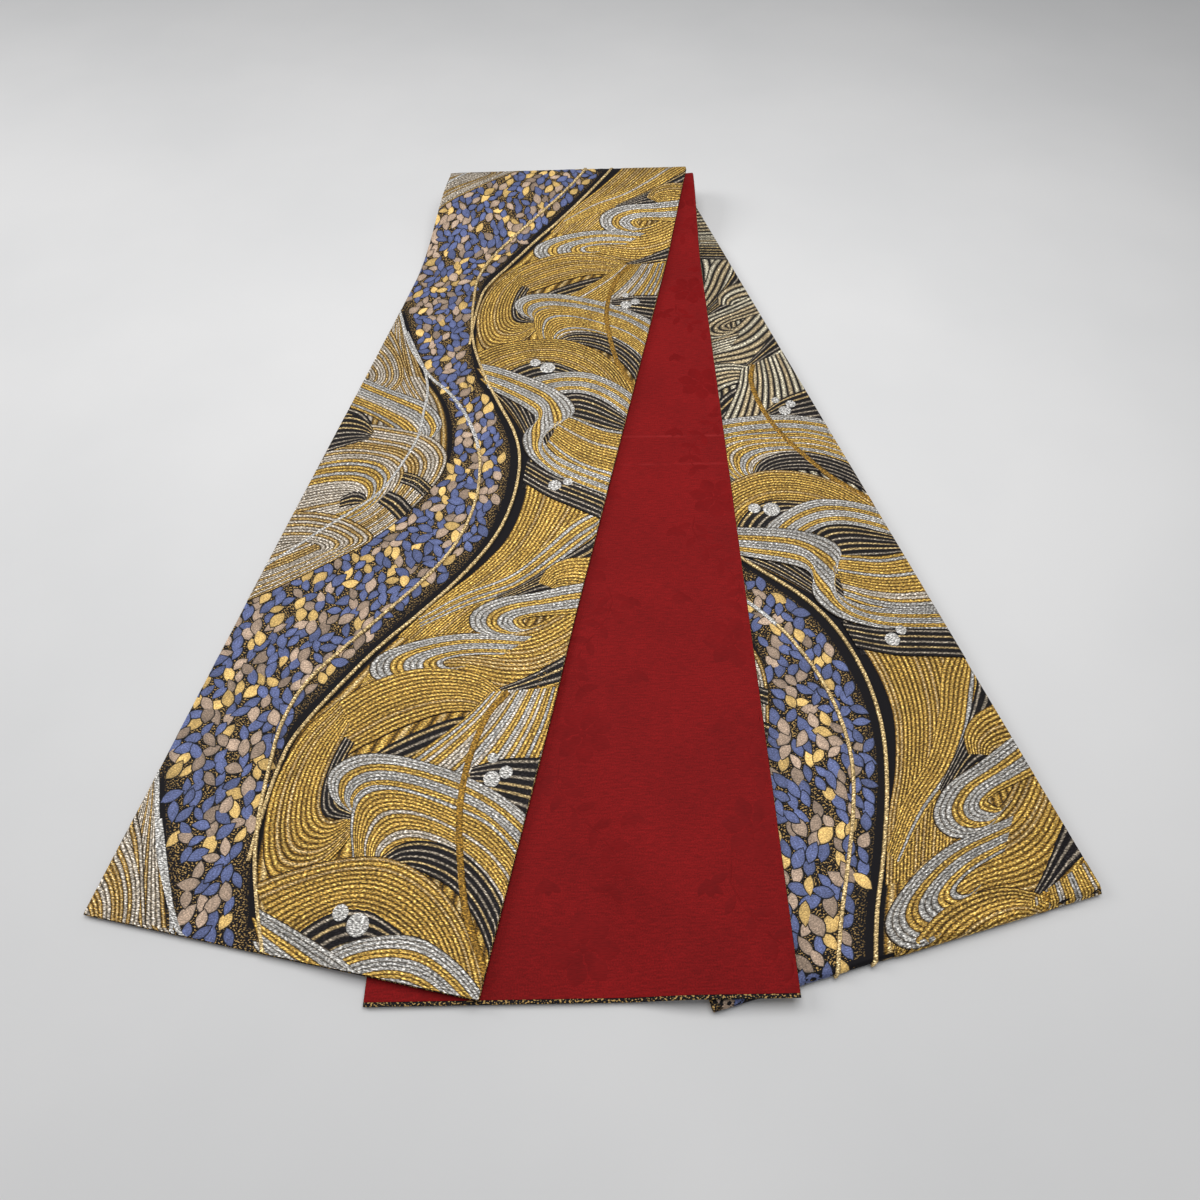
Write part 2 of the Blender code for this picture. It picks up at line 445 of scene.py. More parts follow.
@dataclass
class Sheet:
    """Loose mesh data in strip coordinates, gathered until it becomes one object."""

    points: list[Array] = field(default_factory=list)
    faces: list[Array] = field(default_factory=list)
    maps: list[Array] = field(default_factory=list)
    colours: list[Array] = field(default_factory=list)
    total: int = 0

    def add(self, points: Array, faces: Array, strip: Array, colours: Array) -> None:
        """Append points in space, faces, strip coordinates and colours of one patch.

        Args:
            points: positions in space, with x, y and z last.
            faces: corner numbers within this patch.
            strip: strip coordinates of the points in metres.
            colours: four numbers for each point.
        """
        self.points.append(points.reshape(-1, 3))
        self.faces.append(faces + self.total)
        self.maps.append(strip.reshape(-1, 2))
        self.colours.append(colours.reshape(-1, 4))
        self.total += points.reshape(-1, 3).shape[0]

    def build(self, name: str, finish: bpy.types.Material) -> bpy.types.Object:
        """Turn the gathered patches into an object with smooth shading.

        Args:
            name: the piece's name.
            finish: its material.

        Returns:
            The new object, with a UV map of strip metres and a point colour.
        """
        points = np.concatenate(self.points)
        faces = np.concatenate(self.faces)
        strip, colours = np.concatenate(self.maps), np.concatenate(self.colours)
        mesh = bpy.data.meshes.new(name)
        mesh.vertices.add(len(points))
        mesh.vertices.foreach_set("co", points.astype(np.float32).ravel())
        mesh.loops.add(faces.size)
        mesh.loops.foreach_set("vertex_index", faces.astype(np.int32).ravel())
        mesh.polygons.add(len(faces))
        starts = np.arange(0, faces.size, faces.shape[1], dtype=np.int32)
        mesh.polygons.foreach_set("loop_start", starts)
        mesh.update(calc_edges=True)
        layer = mesh.uv_layers.new(name="strip")
        layer.data.foreach_set("uv", strip[faces.ravel()].astype(np.float32).ravel())
        tint = mesh.attributes.new("tint", "FLOAT_COLOR", "POINT")
        tint.data.foreach_set("color", colours.astype(np.float32).ravel())
        mesh.polygons.foreach_set("use_smooth", np.full(len(faces), True))
        mesh.validate()
        mesh.materials.append(finish)
        piece = bpy.data.objects.new(name, mesh)
        bpy.context.scene.collection.objects.link(piece)
        LOG.info("%s: %d faces", name, len(faces))
        return piece


def smooth_curve(points: Points, count: int) -> Array:
    """Points evenly spaced along a Catmull-Rom curve through given points.

    Args:
        points: the places that the curve passes through.
        count: how many points to return.

    Returns:
        An array of count rows of two.
    """
    knots = np.asarray(points, float)
    ends = np.vstack([2 * knots[0] - knots[1], knots, 2 * knots[-1] - knots[-2]])
    fine = np.linspace(0.0, len(knots) - 1.0, 24 * len(knots))
    index = np.minimum(fine.astype(int), len(knots) - 2)
    t = (fine - index)[:, None]
    a, b, c, d = (ends[index + k] for k in range(4))
    square, cube = 2 * a - 5 * b + 4 * c - d, 3 * b - a - 3 * c + d
    curve = 0.5 * (2 * b + (c - a) * t + square * t**2 + cube * t**3)
    steps = np.concatenate([[0.0], np.cumsum(np.linalg.norm(np.diff(curve, axis=0), axis=1))])
    even = np.linspace(0.0, steps[-1], count)
    return np.stack([np.interp(even, steps, curve[:, k]) for k in range(2)], axis=1)


def curve_length(points: Points) -> float:
    """Length of the smooth curve through points."""
    curve = smooth_curve(points, 40)
    return float(np.linalg.norm(np.diff(curve, axis=0), axis=1).sum())


# ---------------------------------------------------------------------------------------------
# Finishes
# ---------------------------------------------------------------------------------------------


@dataclass
class NodeSheet:
    """Short-hand for building one material's node tree."""

    material: bpy.types.Material

    @classmethod
    def new(cls, name: str, roughness: float, metallic: float = 0.0, sheen: float = 0.0,
            specular: float = 0.3) -> NodeSheet:
        """A principled material with its plain numbers set on the shader.

        Args:
            name: the material's name.
            roughness: roughness of the surface.
            metallic: share of metal.
            sheen: weight of the soft fuzz.
            specular: strength of the clear reflection.

        Returns:
            A sheet for the new material.
        """
        material = bpy.data.materials.new(name)
        material.use_nodes = True
        shader = material.node_tree.nodes["Principled BSDF"]
        shader.inputs["Roughness"].default_value = roughness
        shader.inputs["Metallic"].default_value = metallic
        shader.inputs["Sheen Weight"].default_value = sheen
        shader.inputs["Sheen Roughness"].default_value = 0.4
        shader.inputs["Specular IOR Level"].default_value = specular
        return cls(material)

    def node(self, kind: str, **values: object) -> bpy.types.Node:
        """Add a node and set its properties, or its inputs where no property has that name.

        Args:
            kind: the node's type.
            values: properties and inputs by name.

        Returns:
            The new node.
        """
        made = self.material.node_tree.nodes.new(kind)
        for name, value in values.items():
            if hasattr(made, name):
                setattr(made, name, value)
            else:
                made.inputs[name.replace("_", " ").title()].default_value = value
        return made

    def link(self, source: bpy.types.NodeSocket, target: bpy.types.NodeSocket) -> None:
        """Join two sockets."""
        self.material.node_tree.links.new(source, target)

    def shader(self, socket: str) -> bpy.types.NodeSocket:
        """An input of the principled shader."""
        return self.material.node_tree.nodes["Principled BSDF"].inputs[socket]

    def tint(self) -> bpy.types.NodeSocket:
        """The colour that the mesh carries at each point."""
        return self.node("ShaderNodeVertexColor", layer_name="tint").outputs["Color"]

    def strip_map(self, scale: tuple[float, float] = (1.0, 1.0), lean: float = 0.0) -> bpy.types.NodeSocket:
        """Strip coordinates in metres, scaled along each direction and turned.

        Args:
            scale: scale across and along.
            lean: turn in radians.

        Returns:
            The scaled coordinates' socket.
        """
        uv = self.node("ShaderNodeUVMap", uv_map="strip")
        mapping = self.node("ShaderNodeMapping")
        mapping.inputs["Scale"].default_value = (*scale, 1.0)
        mapping.inputs["Rotation"].default_value = (0.0, 0.0, lean)
        self.link(uv.outputs["UV"], mapping.inputs["Vector"])
        return mapping.outputs["Vector"]

    def noise(self, scale: float, stretch: tuple[float, float] = (1.0, 1.0),
              detail: float = 2.0) -> bpy.types.NodeSocket:
        """Noise over the strip, with scale cells to the metre.

        Args:
            scale: cells to the metre.
            stretch: share of that scale across and along.
            detail: octaves of finer noise.

        Returns:
            The noise's socket.
        """
        made = self.node("ShaderNodeTexNoise", Scale=scale, Detail=detail)
        self.link(self.strip_map(stretch), made.inputs["Vector"])
        return made.outputs["Fac"]

    def ramp(self, source: bpy.types.NodeSocket, stops: list[tuple[float, float]]) -> bpy.types.NodeSocket:
        """A grey ramp with a value at each stop.

        Args:
            source: the socket that drives it.
            stops: pairs of place and value.

        Returns:
            The ramp's socket.
        """
        made = self.node("ShaderNodeValToRGB")
        elements = made.color_ramp.elements
        while len(elements) < len(stops):
            elements.new(0.5)
        for element, (place, value) in zip(elements, stops):
            element.position = place
            element.color = (value, value, value, 1.0)
        self.link(source, made.inputs["Fac"])
        return made.outputs["Color"]

    def mix(self, kind: str, factor: bpy.types.NodeSocket | float, first: object,
            second: object) -> bpy.types.NodeSocket:
        """Mix two colours, each a socket or four numbers.

        Args:
            kind: how the two are blended.
            factor: amount of the second, as a socket or a number.
            first: the colour under it.
            second: the colour over it.

        Returns:
            The mixed colour's socket.
        """
        made = self.node("ShaderNodeMix", data_type="RGBA", blend_type=kind)
        for index, value in ((0, factor), (6, first), (7, second)):
            if isinstance(value, bpy.types.NodeSocket):
                self.link(value, made.inputs[index])
            else:
                made.inputs[index].default_value = value
        return made.outputs[2]

    def weave(self, pitch: float, lean: float) -> bpy.types.NodeSocket:
        """Twill ribs: a sine of the distance down the strip, one wave for each thread, a little turned.

        Args:
            pitch: distance between threads in metres.
            lean: turn of the ribs in radians.

        Returns:
            The ribs' socket.
        """
        scale = BAND_PERIOD / pitch
        made = self.node("ShaderNodeTexWave", bands_direction="Y", Scale=scale, Distortion=0.6)
        self.link(self.strip_map(lean=lean), made.inputs["Vector"])
        return made.outputs["Fac"]

    def layered(self, colour: object, *layers: tuple[float, bpy.types.NodeSocket]) -> bpy.types.NodeSocket:
        """Multiply a colour by one layer after another.

        Args:
            colour: a socket or four numbers.
            layers: pairs of an amount and the socket to multiply by.

        Returns:
            The last product's socket.
        """
        for amount, layer in layers:
            colour = self.mix("MULTIPLY", amount, colour, layer)
        return colour

    def finish(self, colour: bpy.types.NodeSocket, height: bpy.types.NodeSocket, strength: float,
               distance: float) -> bpy.types.Material:
        """Join colour and height to the shader.

        Args:
            colour: the socket of the base colour.
            height: the socket that gives the height of the grain.
            strength: share of the grain's effect.
            distance: height in metres of a value of one.

        Returns:
            The finished material.
        """
        made = self.node("ShaderNodeBump", Strength=strength, Distance=distance)
        self.link(height, made.inputs["Height"])
        self.link(made.outputs["Normal"], self.shader("Normal"))
        self.link(colour, self.shader("Base Color"))
        return self.material


@dataclass(frozen=True)
class ThreadFinish:
    """Metal and silk thread of the raised pattern; its colour comes from the piece's own tint."""

    name: str = "metal_thread"
    roughness: float = 0.42
    metallic: float = 0.45
    thread_pitch: float = 0.6 * MM

    def build(self) -> bpy.types.Material:
        """Tint broken up by weft dashes painted as glints and dark specks, fine ribs and slow shade changes.

        Returns:
            The new material.
        """
        sheet = NodeSheet.new(self.name, self.roughness, self.metallic)
        dashes = sheet.noise(1000.0, (0.42, 1.0), 1.0)
        # The dashes multiply the tint by 0.3 to 3.8: painted glints on the metal thread, with darker specks
        # between them.
        painted_glint_and_bump = sheet.ramp(dashes, [(0.36, 0.30), (0.50, 0.84), (0.59, 1.45), (0.69, 3.8)])
        cloudy = sheet.ramp(sheet.noise(45.0), [(0.3, 0.78), (0.7, 1.18)])
        ribs = sheet.weave(self.thread_pitch, 0.12)
        shade = sheet.ramp(ribs, [(0.0, 0.45), (0.6, 1.1)])
        colour = sheet.layered(sheet.tint(), (1.0, painted_glint_and_bump), (0.8, cloudy), (0.3, shade))
        sheet.link(sheet.ramp(dashes, [(0.40, 0.55), (0.66, 0.24)]), sheet.shader("Roughness"))
        return sheet.finish(colour, sheet.mix("ADD", 1.0, painted_glint_and_bump, ribs), 0.4, 0.2 * MM)


@dataclass(frozen=True)
class GroundFinish:
    """Black satin ground with gold flecks where the tint's red channel says so."""

    name: str = "black_ground"
    roughness: float = 0.62
    black: tuple[float, ...] = (0.010, 0.009, 0.011, 1.0)
    fleck: tuple[float, ...] = (0.60, 0.38, 0.13, 1.0)

    def build(self) -> bpy.types.Material:
        """Black twill, with flecks where a stretched noise is high.

        Returns:
            The new material.
        """
        sheet = NodeSheet.new(self.name, self.roughness, specular=0.10)
        split = sheet.node("ShaderNodeSeparateColor")
        sheet.link(sheet.tint(), split.inputs["Color"])
        flecks = sheet.ramp(sheet.noise(820.0, (0.7, 1.0), 1.0), [(0.55, 0.0), (0.61, 1.0)])
        amount = sheet.node("ShaderNodeMath", operation="MULTIPLY")
        sheet.link(flecks, amount.inputs[0])
        sheet.link(split.outputs["Red"], amount.inputs[1])
        ribs = sheet.weave(0.6 * MM, 0.7)
        colour = sheet.mix("MIX", amount.outputs["Value"], self.black, self.fleck)
        colour = sheet.layered(colour, (0.4, sheet.ramp(ribs, [(0.0, 0.55), (0.8, 1.1)])))
        return sheet.finish(colour, ribs, 0.3, 0.12 * MM)


@dataclass(frozen=True)
class PetalFinish:
    """Silk petals: their tint, brushed by fine dots and warp lines."""

    name: str = "petal_silk"
    roughness: float = 0.5

    def build(self) -> bpy.types.Material:
        """Tint times a dotted grain, slow shade changes and fine warp lines.

        Returns:
            The new material.
        """
        sheet = NodeSheet.new(self.name, self.roughness, metallic=0.12, sheen=0.08)
        dots = sheet.noise(1100.0, (0.6, 1.0), 1.0)
        grain = sheet.ramp(dots, [(0.34, 0.55), (0.55, 1.05), (0.68, 1.7)])
        cloudy = sheet.ramp(sheet.noise(120.0), [(0.3, 0.75), (0.7, 1.2)])
        ribs = sheet.weave(0.5 * MM, 0.05)
        shade = sheet.ramp(ribs, [(0.0, 0.6), (0.7, 1.1)])
        colour = sheet.layered(sheet.tint(), (0.8, grain), (0.8, cloudy), (0.3, shade))
        return sheet.finish(colour, sheet.mix("ADD", 1.0, grain, ribs), 0.3, 0.12 * MM)


@dataclass(frozen=True)
class LiningFinish:
    """Crimson lining with a fine crepe weave and the creases of its last folding, which carry a painted
    highlight.
    """

    name: str = "crimson_lining"
    roughness: float = 0.66
    sheen: float = 0.05
    red: tuple[float, ...] = (0.240, 0.0060, 0.0066, 1.0)
    lit: tuple[float, ...] = (0.40, 0.03, 0.03, 1.0)
    glint: float = 0.45
    creases: tuple[float, ...] = (0.463, 0.5035)
    crease_width: float = 2.2 * MM

    def line(self, sheet: NodeSheet, place: float) -> bpy.types.NodeSocket:
        """A soft crease across the strip: one minus the distance from its place over its half width.

        Args:
            sheet: the node tree to draw it in.
            place: distance down the strip in metres.

        Returns:
            The crease's socket.
        """
        parts = sheet.node("ShaderNodeSeparateXYZ")
        sheet.link(sheet.strip_map(), parts.inputs["Vector"])
        away = sheet.node("ShaderNodeMath", operation="SUBTRACT")
        sheet.link(parts.outputs["Y"], away.inputs[0])
        away.inputs[1].default_value = place
        size = sheet.node("ShaderNodeMath", operation="ABSOLUTE")
        sheet.link(away.outputs["Value"], size.inputs[0])
        near = sheet.node("ShaderNodeMapRange")
        near.inputs["From Min"].default_value = self.crease_width
        near.inputs["From Max"].default_value = 0.0
        sheet.link(size.outputs["Value"], near.inputs["Value"])
        return near.outputs["Result"]

    def build(self) -> bpy.types.Material:
        """Red with slow shade changes, warp streaks and crepe grain; creases get a painted highlight and
        stand up.

        Returns:
            The new material.
        """
        sheet = NodeSheet.new(self.name, self.roughness, sheen=self.sheen, specular=0.10)
        cloudy = sheet.ramp(sheet.noise(14.0, (1.0, 1.0), 3.0), [(0.3, 0.88), (0.7, 1.10)])
        warp = sheet.ramp(sheet.noise(700.0, (0.16, 1.0)), [(0.3, 0.70), (0.7, 1.16)])
        crepe = sheet.ramp(sheet.noise(900.0), [(0.35, 0.74), (0.65, 1.18)])
        colour = sheet.layered(self.red, (0.9, cloudy), (0.7, warp), (0.8, crepe))
        height = sheet.mix("ADD", 1.0, warp, crepe)
        broken = sheet.ramp(sheet.noise(30.0), [(0.40, 0.0), (0.60, 1.0)])
        for place in self.creases:
            crease = sheet.mix("MULTIPLY", 1.0, broken, self.line(sheet, place))
            # Along each crease the red is mixed towards a lighter red: a painted highlight.
            colour = sheet.mix("MIX", self.glint, colour, sheet.mix("MIX", crease, colour, self.lit))
            height = sheet.mix("ADD", 0.9, height, crease)
        return sheet.finish(colour, height, 0.5, 0.3 * MM)


@dataclass(frozen=True)
class DamaskFinish:
    """The lining's sprays: the same crimson, a shade deeper and smoother."""

    name: str = "crimson_satin"
    roughness: float = 0.58
    red: tuple[float, ...] = (0.196, 0.0046, 0.0052, 1.0)

    def build(self) -> bpy.types.Material:
        """Deep red with satin floats: fine streaks across the strip.

        Returns:
            The new material.
        """
        sheet = NodeSheet.new(self.name, self.roughness, specular=0.08)
        floats = sheet.ramp(sheet.noise(1100.0, (0.2, 1.0)), [(0.3, 0.82), (0.7, 1.15)])
        cloudy = sheet.ramp(sheet.noise(40.0), [(0.3, 0.90), (0.7, 1.14)])
        colour = sheet.layered(self.red, (0.9, floats), (0.9, cloudy))
        return sheet.finish(colour, floats, 0.2, 0.1 * MM)


@dataclass(frozen=True)
class FloorFinish:
    """Pale plaster floor, nearly white, with soft mottling."""

    name: str = "pale_floor"
    roughness: float = 0.85
    dull: tuple[float, ...] = (0.715, 0.715, 0.715, 1.0)
    bright: tuple[float, ...] = (0.755, 0.752, 0.75, 1.0)

    def build(self) -> bpy.types.Material:
        """Two pale greys mixed by a broad noise on object coordinates.

        Returns:
            The new material.
        """
        sheet = NodeSheet.new(self.name, self.roughness)
        place = sheet.node("ShaderNodeTexCoord").outputs["Object"]
        cloud = sheet.node("ShaderNodeTexNoise", Scale=3.0, Detail=5.0)
        sheet.link(place, cloud.inputs["Vector"])
        mottle = sheet.ramp(cloud.outputs["Fac"], [(0.35, 0.0), (0.65, 1.0)])
        colour = sheet.mix("MIX", mottle, self.dull, self.bright)
        grain = sheet.node("ShaderNodeTexNoise", Scale=180.0, Detail=3.0)
        sheet.link(place, grain.inputs["Vector"])
        return sheet.finish(colour, grain.outputs["Fac"], 0.12, 0.4 * MM)


# ---------------------------------------------------------------------------------------------
# The woven pattern, drawn in centimetres: across from the left edge, along down the strip
# ---------------------------------------------------------------------------------------------

PERIOD = 61.4  # the pattern repeats after this length
PATTERN_START = 42.0  # along-coordinate of the band's first point
LEVEL_CELLS = (72, 560)  # cells of the table of levels, across and along
LEVEL_ORIGIN = (8.0, 60.0)  # how far that table reaches beyond the strip's first corner
DOME_POINTS = 20  # points round a silver dot
LEAF_POINTS = 12  # points round a petal or a leaf

# The lighter tints that crown gold, silver and cream lines are painted highlights; the bright silver and
# pale gold are also the own colour of the stems, dots and night lines.
TINTS = {
    "gold": (0.325, 0.174, 0.026),
    "deep_gold": (0.19, 0.100, 0.014),
    "gold_highlight": (0.88, 0.56, 0.138),
    "pale_gold": (0.72, 0.51, 0.23),
    "silver": (0.34, 0.32, 0.29),
    "bright_silver": (0.60, 0.58, 0.545),
    "cream": (0.46, 0.385, 0.29),
    "pale": (0.80, 0.71, 0.60),
    "straw": (0.80, 0.62, 0.36),
    "pale_straw": (0.95, 0.84, 0.60),
    "black": (0.010, 0.008, 0.009),
    "gap": (0.050, 0.030, 0.010),
    "brown": (0.062, 0.030, 0.006),
}


@dataclass(frozen=True)
class Scheme:
    """How a wave's lines are coloured: pairs of body and crown tint in turn, and the valley's; a crown over
    a gold, silver or cream body is a painted highlight.
    """

    turns: tuple[tuple[str, str], ...]
    valley: str
    share: float
    pitch: float = 0.36


GOLD_TURN = ("gold", "gold_highlight")
SOFT_TURN = ("gold", "pale_gold")
SILVER_TURN = ("silver", "bright_silver")
CREAM_TURN = ("cream", "pale")
SCHEMES: dict[Weave, Scheme] = {
    Weave.GOLD: Scheme((GOLD_TURN, GOLD_TURN, SOFT_TURN, ("deep_gold", "gold_highlight")), "brown", 0.66),
    Weave.BROAD: Scheme((GOLD_TURN, SOFT_TURN, GOLD_TURN, ("deep_gold", "pale_gold")), "gap", 0.60, 0.80),
    Weave.SILVER_EDGE: Scheme((SILVER_TURN, SILVER_TURN, SILVER_TURN, GOLD_TURN, GOLD_TURN), "gap", 0.70),
    Weave.MIXED: Scheme((GOLD_TURN, SILVER_TURN, GOLD_TURN, CREAM_TURN, GOLD_TURN), "gap", 0.66),
    Weave.CREAM: Scheme((CREAM_TURN, CREAM_TURN, SOFT_TURN), "gap", 0.52),
    Weave.NIGHT: Scheme((("black", "cream"), ("black", "pale_gold")), "black", 0.44, 0.62),
    Weave.PALE_NIGHT: Scheme((("black", "straw"), ("black", "pale_straw")), "black", 0.80, 0.74),
}


@dataclass(frozen=True)
class Wave:
    """One wave of the pattern: parallel lines that run from an outer to an inner curve."""

    weave: Weave
    outer: Points
    inner: Points


BAND_LEFT: Points = [
    (7.6, 42), (11.0, 46), (12.9, 50), (13.8, 54), (12.9, 58), (11.2, 62), (7.6, 65), (4.4, 69),
    (0.4, 73), (-2.5, 78), (-3.0, 85), (-0.3, 90), (1.9, 94), (4.2, 98), (7.6, 103.4),
]
BAND_RIGHT: Points = [
    (13.0, 42), (15.4, 45), (17.4, 48), (19.1, 51), (20.0, 54), (20.4, 58), (20.2, 62), (19.2, 66),
    (17.3, 70), (15.0, 74), (12.6, 78), (10.7, 82), (9.1, 86), (9.3, 90), (9.9, 94), (10.7, 98),
    (13.0, 103.4),
]
BLACK_EDGE: Points = [
    (13.8, 42), (16.6, 45), (19.2, 48), (21.2, 51), (22.2, 54), (22.7, 58), (22.6, 62), (21.3, 66),
    (19.3, 70), (16.7, 74), (14.2, 78), (12.2, 82), (10.2, 86), (10.0, 90), (10.5, 94), (11.4, 98),
    (13.8, 103.4),
]

